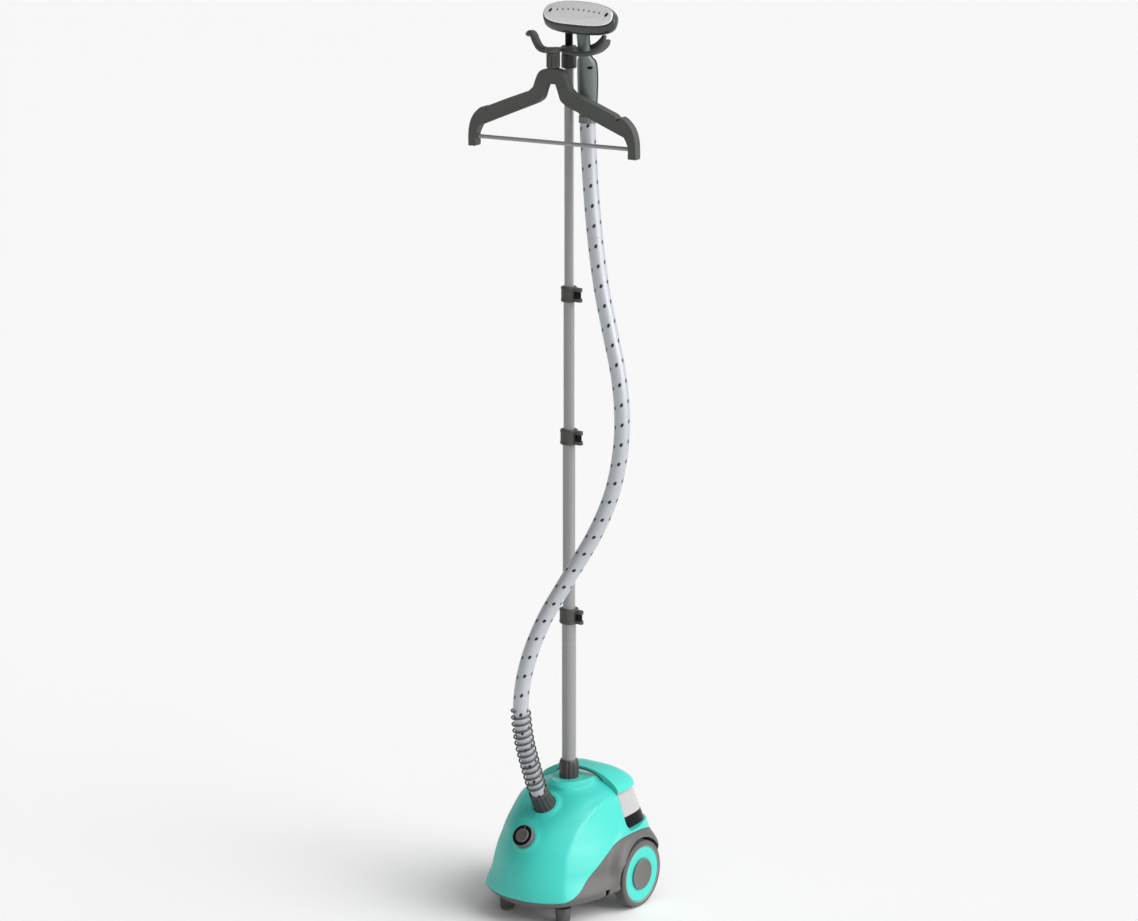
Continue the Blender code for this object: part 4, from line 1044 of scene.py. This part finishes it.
def pole_head():
    """Block on the pole's top: garment hook, cradle prongs, hanger cap, knob and barrel."""
    low = low_of("holder").z
    block_form = ((0.0083, low), (0.0118, low), (0.0130, low + 0.0012), (0.0130, 1.5085), (0.0124, 1.5092),
                  (0.0124, 1.5112), (0.0130, 1.5119), (0.0130, HEAD_TOP - 0.0016), (0.0116, HEAD_TOP),
                  (0, HEAD_TOP), (0, 1.5040), (0.0083, 1.5040))
    head = lathe("holder_skin", block_form, POLE, steps=72)
    cap = turned(((0, BARREL_HIGH + GAP), (0.0122, BARREL_HIGH + GAP), (0.0129, BARREL_HIGH + 0.001),
                  (0.0129, 1.5243), (0.0116, 1.5257), (0.0080, 1.5262), (0, 1.5262)), 72)
    combine(head, cap, "UNION", HANGER)
    combine(head, block(at(-0.0062, HANGER_Y, BARREL_HIGH + 0.0010), at(0.0062, 0, 1.5236)), "UNION")
    combine(head, strap(HOOK, 0.0050, 1.6, 3.2), "UNION")
    for side, reach, wide in PRONGS:
        y = FORK_Y + side * (FORK_HALF + 0.0040 * (wide - SLIM))
        prong = ((0.003, -0.016, 1.5200), (0.024, FORK_Y + side * 0.010, 1.5190),
                 (reach - 0.054, y, 1.5195), (reach - 0.036, y, 1.5215), (reach - 0.018, y, 1.5275),
                 (reach - 0.006, y, 1.5370), (reach, y, 1.5460))
        combine(head, strap(prong, 0.0042, wide, 3.0), "UNION")
    piece(rounded(head, 0.0006, 2, 60), "pole_head", "hanger_grey", "holder")
    top_knob()
    rows = [(0, BARREL_LOW), (0.0102, BARREL_LOW), (0.0114, BARREL_LOW + 0.0012)]
    rows += [(0.0118, BARREL_LOW + 0.0030 + 0.0022 * i) for i in range(9)]
    rows += [(0.0114, BARREL_HIGH - 0.0012), (0.0106, BARREL_HIGH), (0, BARREL_HIGH)]
    flutes = (10, 0.0016, BARREL_LOW + 0.002, BARREL_HIGH - 0.002)
    barrel = lathe("hanger_barrel_skin", rows, HANGER, UP, 120, flutes)
    bore(barrel, 0.0045, BARREL_LOW - 0.01, BARREL_HIGH - 0.004, HANGER)
    piece(barrel, "pole_head", "dark_grey", "hanger_barrel")


def top_knob():
    """Screw knob on the pole's top: black stem and lobed grip."""
    low, high = low_of("top_knob").z, high_of("top_knob").z
    grip = high - 0.0140
    rows = [(0, low), (0.0062, low), (0.0066, low + 0.003), (0.0066, grip - 0.004), (0.0074, grip - 0.001)]
    rows += [(0.0098, grip + 0.0008 + 0.0019 * i) for i in range(6)]
    rows += [(0.0086, high - 0.0012), (0.0070, high - 0.0003), (0.0030, high), (0, high)]
    knob = lathe("top_knob_skin", rows, POLE, UP, 112, (7, 0.0020, grip, high - 0.001))
    piece(knob, "pole_head", "black", "top_knob")


def hanger():
    """The swivel hanger with a notch in each shoulder, and the trouser bar."""
    half = smooth_curve(SHOULDER[:5], 4) + smooth_curve(SHOULDER[5:8], 2) + smooth_curve(SHOULDER[8:], 3)
    half += smooth_curve(UNDERSIDE[:4], 2) + smooth_curve(UNDERSIDE[4:], 3)
    outline = half + [(-x, z) for x, z in reversed(half[1:])]
    body = finished(prism(outline, -HANGER_HALF_DEPTH, HANGER_HALF_DEPTH, "Y"), "hanger_body")
    body.location = HANGER
    body.rotation_euler.z = HANGER_TURN
    combine(body, rod(0.0042, 1.480, BARREL_HIGH - 0.005), "UNION", HANGER)
    piece(rounded(body, 0.0014, 3, 50), "hanger", "hanger_grey", "hanger")
    bar = ((0, -BAR_REACH), (0.0030, -BAR_REACH), (0.0035, 0.0006 - BAR_REACH), (0.0035, BAR_REACH - 0.0006),
           (0.0030, BAR_REACH), (0, BAR_REACH))
    way = (math.cos(HANGER_TURN), math.sin(HANGER_TURN), 0)
    piece(lathe("trouser_bar", bar, middle("hanger_bar"), way, 32), "hanger", "chrome", "hanger_bar")


# -------- handset

HAND_X, HAND_Y = 0.0430, -0.0062
HAND = at(HAND_X, HAND_Y, 0)
HANDLE_LEVELS = (           # height, half width, half depth, y of the centre
    (1.4120, 0.0150, 0.0140, HAND_Y),
    (1.4200, 0.0163, 0.0148, HAND_Y),
    (1.4450, 0.0178, 0.0154, HAND_Y),
    (1.4700, 0.0186, 0.0156, HAND_Y),
    (1.4920, 0.0182, 0.0153, -0.0072),
    (1.5040, 0.0165, 0.0145, -0.0095),
    (1.5120, 0.0116, 0.0115, -0.0135),
    (1.5320, 0.0110, 0.0108, -0.0180),
    (1.5780, 0.0125, 0.0108, -0.0235),
)
HANDLE_WALL = 0.0024
PLATE_HALF_W, PLATE_HALF_H = 0.0690, 0.0196
PLATE_LIFT = 0.0026         # the plate sits this much above the head's middle
PLATE_RIM = ((0, 0.0009), (0, 0.0019), (0.0006, 0.0026), (0.0020, 0.0030))      # inset, out of the plane
PLATE_CENTRE = (0.0460, -0.0385, 1.5830)
PLATE_TILT, PLATE_POWER, PLATE_LOWER_POWER = math.radians(20), 2.4, 3.1
HEAD_LEVELS = (             # half width, half height, out of the plate's plane, drop
    (0.0712, 0.0226, 0.0000, -0.0008),
    (0.0724, 0.0252, -0.0040, 0.0012),
    (0.0730, 0.0270, -0.0100, 0.0030),
    (0.0675, 0.0248, -0.0200, 0.0030),
    (0.0530, 0.0190, -0.0300, 0.0040),
    (0.0330, 0.0115, -0.0345, 0.0050),
)
COUPLING_TOP, COUPLING_FLOOR, COUPLING_LENGTH = 1.4117, 1.4094, 0.0125
BUTTON_Z, BUTTON_R_X, BUTTON_R_Y, BUTTON_WAY = 1.4935, 0.0181, 0.0152, math.radians(-46)


def plate_frame(u, v, w):
    """A point of the head: u across, v up the plate, w out of it."""
    x, y, z = PLATE_CENTRE
    cos, sin = math.cos(PLATE_TILT), math.sin(PLATE_TILT)
    return at(x + u, y + v * sin - w * cos, z + v * cos + w * sin)


def head_ring(half_width, half_height, w, drop):
    """One rounded outline of the head, w out of the plate's plane."""
    ring = []
    for angle in turns(96):
        curl = 2 / (PLATE_POWER if math.sin(angle) >= 0 else PLATE_LOWER_POWER)
        u = half_width * signed_power(math.cos(angle), curl)
        v = half_height * signed_power(math.sin(angle), curl)
        ring.append(plate_frame(u, v - drop, w))
    return ring


def head_loft(grow=0.0):
    """The head housing's outer form, grown by an amount, with a rounded front lip."""
    rings = [head_ring(w + grow, h + grow, out, drop) for w, h, out, drop in smooth_curve(HEAD_LEVELS, 5)]
    if not grow:
        return loft([head_ring(0.0704, 0.0216, 0.0006, -0.0014), *rings])
    ends = []
    for (w, h, out, drop), further in ((HEAD_LEVELS[0], grow), (HEAD_LEVELS[-1], -grow)):
        ends.append(head_ring(w + grow, h + grow, out + further, drop))
    return loft([ends[0], *rings, ends[1]])


def handle_form(inset, first=0):
    """The handle's oval form from one of its levels up, drawn in by an inset."""
    return loft([[at(HAND_X + (half_width - inset) * math.cos(angle),
                     y + (half_depth - inset) * math.sin(angle), z) for angle in turns(64)]
                 for z, half_width, half_depth, y in smooth_curve(HANDLE_LEVELS[first:], 5)])


def handle_half(name, near, far):
    """The handle between two distances from a surface that follows its centre line."""
    shell = finished(handle_form(0), name)
    combine(shell, handle_form(HANDLE_WALL, 1))
    bore(shell, 0.0060, 1.40, 1.43, HAND)
    combine(shell, head_loft(0.0005))
    line = [(POLE_Y + y, z) for z, _, _, y in smooth_curve(HANDLE_LEVELS, 5)]
    line = [(line[0][0], 1.38), *line, (line[-1][0], 1.60)]
    outline = [(y + near, z) for y, z in line] + [(y + far, z) for y, z in reversed(line)]
    return combine(shell, prism(outline, -0.05, 0.15), "INTERSECT")


def steam_plate():
    """The sole plate: softly domed metal with an arc of round holes and two oval ends."""
    rings = [head_ring(PLATE_HALF_W - inset, PLATE_HALF_H - inset, out, -PLATE_LIFT)
             for inset, out in PLATE_RIM]
    plate = finished(loft(rings), "sole_plate")
    out = plate_frame(0, 0, 1) - plate_frame(0, 0, 0)
    for u in [0.0105 * (i - 4) for i in range(9)]:
        bore(plate, 0.0018, -0.01, 0.01, plate_frame(u, 0.0085 - 1.4 * u * u, 0), out, 20)
    for side in (-1, 1):
        for lean in (-0.0013, 0.0, 0.0013):
            end = plate_frame(side * 0.0565 + lean, 0.0040 + lean, 0)
            bore(plate, 0.0026, -0.01, 0.01, end, out, 24)
    piece(plate, "handset", "plate", "steam_plate")


def handset():
    """Steam head and handle: plate, housing, two handle shells, button and hose coupling."""
    steam_plate()
    housing = finished(head_loft(), "head_shell")
    combine(housing, loft([head_ring(0.0655, 0.0166, 0.01, -PLATE_LIFT),
                           head_ring(0.0655, 0.0166, -0.010, -0.0010),
                           head_ring(0.0460, 0.0130, -0.0260, 0.001)]))
    combine(housing, sweep([at(HAND_X, -0.0190, 1.540), at(HAND_X, -0.0230, 1.580)], 0.0062))
    piece(housing, "handset", "head_grey", "head_housing")
    piece(handle_half("grip_front", -0.0001, -0.1), "handset", "handset_grey", "handle_front")
    piece(handle_half("grip_back", 0.0001, 0.1), "handset", "black", "handle_back")
    piece(finished(button_form(), "steam_button"), "handset", "black")
    low = COUPLING_TOP - COUPLING_LENGTH
    rows = [(0.0045, COUPLING_FLOOR), (0.0045, COUPLING_TOP), (0.0130, COUPLING_TOP),
            (0.0140, COUPLING_TOP - 0.0006)]
    rows += [(0.0155, COUPLING_TOP - 0.002 - 0.0011 * i) for i in range(8)]
    rows += [(0.0160, low + 0.0006), (0.0156, low), (0.0141, low), (0.0141, COUPLING_FLOOR)]
    flutes = (16, 0.0010, low + 0.002, COUPLING_TOP - 0.0015)
    coupling = lathe("hose_coupling_skin", rows, HAND, UP, 128, flutes)
    piece(coupling, "handset", "handset_grey", "hose_coupling")


def button_form():
    """Oval steam-lock button on the handle's front corner, near its top."""
    rings = []
    for scale, lift in ((1.0, -0.0008), (1.0, 0.0004), (0.8, 0.0011), (0.3, 0.0014)):
        ring = []
        for angle in turns(40):
            turn = BUTTON_WAY + 0.30 * scale * math.cos(angle)
            x = (BUTTON_R_X + lift) * math.cos(turn)
            y = (BUTTON_R_Y + lift) * math.sin(turn)
            ring.append(at(HAND_X + x, HAND_Y - 0.0010 + y, BUTTON_Z + 0.0025 * scale * math.sin(angle)))
        rings.append(ring)
    return loft(rings)


# -------- hose

HOSE_ROUTE = (              # x, y from the pole, z
    (0.0000, -0.1150, 0.2780), (0.0000, -0.1370, 0.3400), (0.0010, -0.1460, 0.4050),
    (0.0080, -0.1360, 0.4750), (0.0260, -0.1130, 0.5480), (0.0570, -0.0810, 0.6240),
    (0.0890, -0.0540, 0.6950), (0.1130, -0.0370, 0.7650), (0.1250, -0.0280, 0.8350),
    (0.1270, -0.0240, 0.9050), (0.1180, -0.0220, 0.9750), (0.1000, -0.0205, 1.0450),
    (0.0810, -0.0190, 1.1200), (0.0660, -0.0160, 1.2000), (0.0535, -0.0115, 1.2850),
    (0.0450, -0.0075, 1.3650), (HAND_X, HAND_Y, 1.3985), (HAND_X, HAND_Y, 1.4085),
)
HOSE_SPACING, HOSE_SIDES = 0.006, 48
PLUG_START, PLUG_END = 0.006, 0.036     # the hose inside its collar, from the casing's skin
JOIN_RISE = 0.006           # where the hose is cut, above the upper length's lowest point
SAG_WAY = Vector((0.46, 0.45, 0.77)).normalized()   # the hose's slack gathers along this way
GUARD_START, GUARD_LENGTH, GUARD_R, GUARD_WIRE, GUARD_PITCH = 0.0405, 0.172, 0.0165, 0.0016, 0.0125
COIL_FINE, COIL_STEP = 0.0005, 0.0028   # spacing of the guard's axis points and of its wire's points


def hose_tube(name, path, start):
    """A braided tube along a path, with U once round it and V the distance along it."""
    bm = bmesh.new()
    uv = bm.loops.layers.uv.new("UVMap")
    rows = []
    for point, side, other in frames_along(path, ACROSS):
        ways = [side * math.cos(angle) + other * math.sin(angle) for angle in turns(HOSE_SIDES)]
        rows.append([bm.verts.new(point + way * HOSE_R) for way in ways])
    walked = start
    for i, (low, high) in enumerate(zip(rows, rows[1:])):
        step = (path[i + 1] - path[i]).length
        for k in range(HOSE_SIDES):
            j = (k + 1) % HOSE_SIDES
            face = bm.faces.new((low[k], low[j], high[j], high[k]))
            corners = ((k, walked), (k + 1, walked), (k + 1, walked + step), (k, walked + step))
            for loop, (turn, along) in zip(face.loops, corners):
                loop[uv].uv = (turn / HOSE_SIDES, along)
        walked += step
    bm.faces.new(rows[0][::-1])
    bm.faces.new(rows[-1])
    return finished(bm, name, 60)


def path_length(path):
    """Length of a polyline."""
    return sum((b - a).length for a, b in zip(path, path[1:]))


def hose():
    """The free hose in two lengths, and the wire guard."""
    route = [PORT + PORT_WAY * (PLUG_START + GAP), PORT + PORT_WAY * PLUG_END,
             *[at(*point) for point in HOSE_ROUTE]]
    path = spline(route, HOSE_SPACING)
    join = low_of("steam_hose_upper").z + JOIN_RISE
    cut = min(range(len(path)), key=lambda i: abs(path[i].z - join))
    lower, upper = path[:cut + 1], path[cut:]
    upper = [upper[0] + (upper[1] - upper[0]).normalized() * GAP, *upper[1:]]
    foot = lower[0]
    seam = foot + SAG_WAY * (lower[-1] - foot).dot(SAG_WAY)
    for word, run, start, bodies, bend in (
            ("lower", lower, 0.0, ("base", "pole_head"), (foot, seam)),
            ("upper", upper, path_length(lower), ("pole_head", "handset"), (upper[0], upper[-1]))):
        tube = hose_tube(f"hose_{word}_braid", run, start)
        painted(tube, "braid", f"steam_hose_{word}")
        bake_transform(tube)
    wire = guard(lower)
    painted(wire, "wire", "hose_guard")
    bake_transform(wire)


def guard(path):
    """Black wire wound round the foot of the hose against kinks."""
    first = next(i for i, point in enumerate(path) if (point - PORT).dot(PORT_WAY) > GUARD_START)
    run = resample(path[first:first + round(GUARD_LENGTH / HOSE_SPACING)], COIL_FINE)
    whole_turns = GUARD_LENGTH / GUARD_PITCH
    coil = []
    for i, (point, side, other) in enumerate(frames_along(run, ACROSS)):
        angle = TAU * whole_turns * i / (len(run) - 1)
        coil.append(point + (side * math.cos(angle) + other * math.sin(angle)) * GUARD_R)
    return finished(sweep(resample(coil, COIL_STEP), GUARD_WIRE, steps=10), "guard_wire")


# -------- CAD parts that stay

def carried_over():
    """Give the inner and small CAD parts their full materials."""
    for subpart in frame["record"]["subparts"]:
        node = frame["nodes"].get(subpart["node"])
        if node is None or node.type != "MESH":
            continue
        node.data.materials.clear()
        node.data.materials.append(FINISH[subpart["material_slot"]])


camera()
studio()
FINISH = make_materials()
for build in (carried_over, hose, main_shell, base_tray, feet, wheels, hose_port, dial, tank, pole, pole_head,
              hanger, handset):
    build()
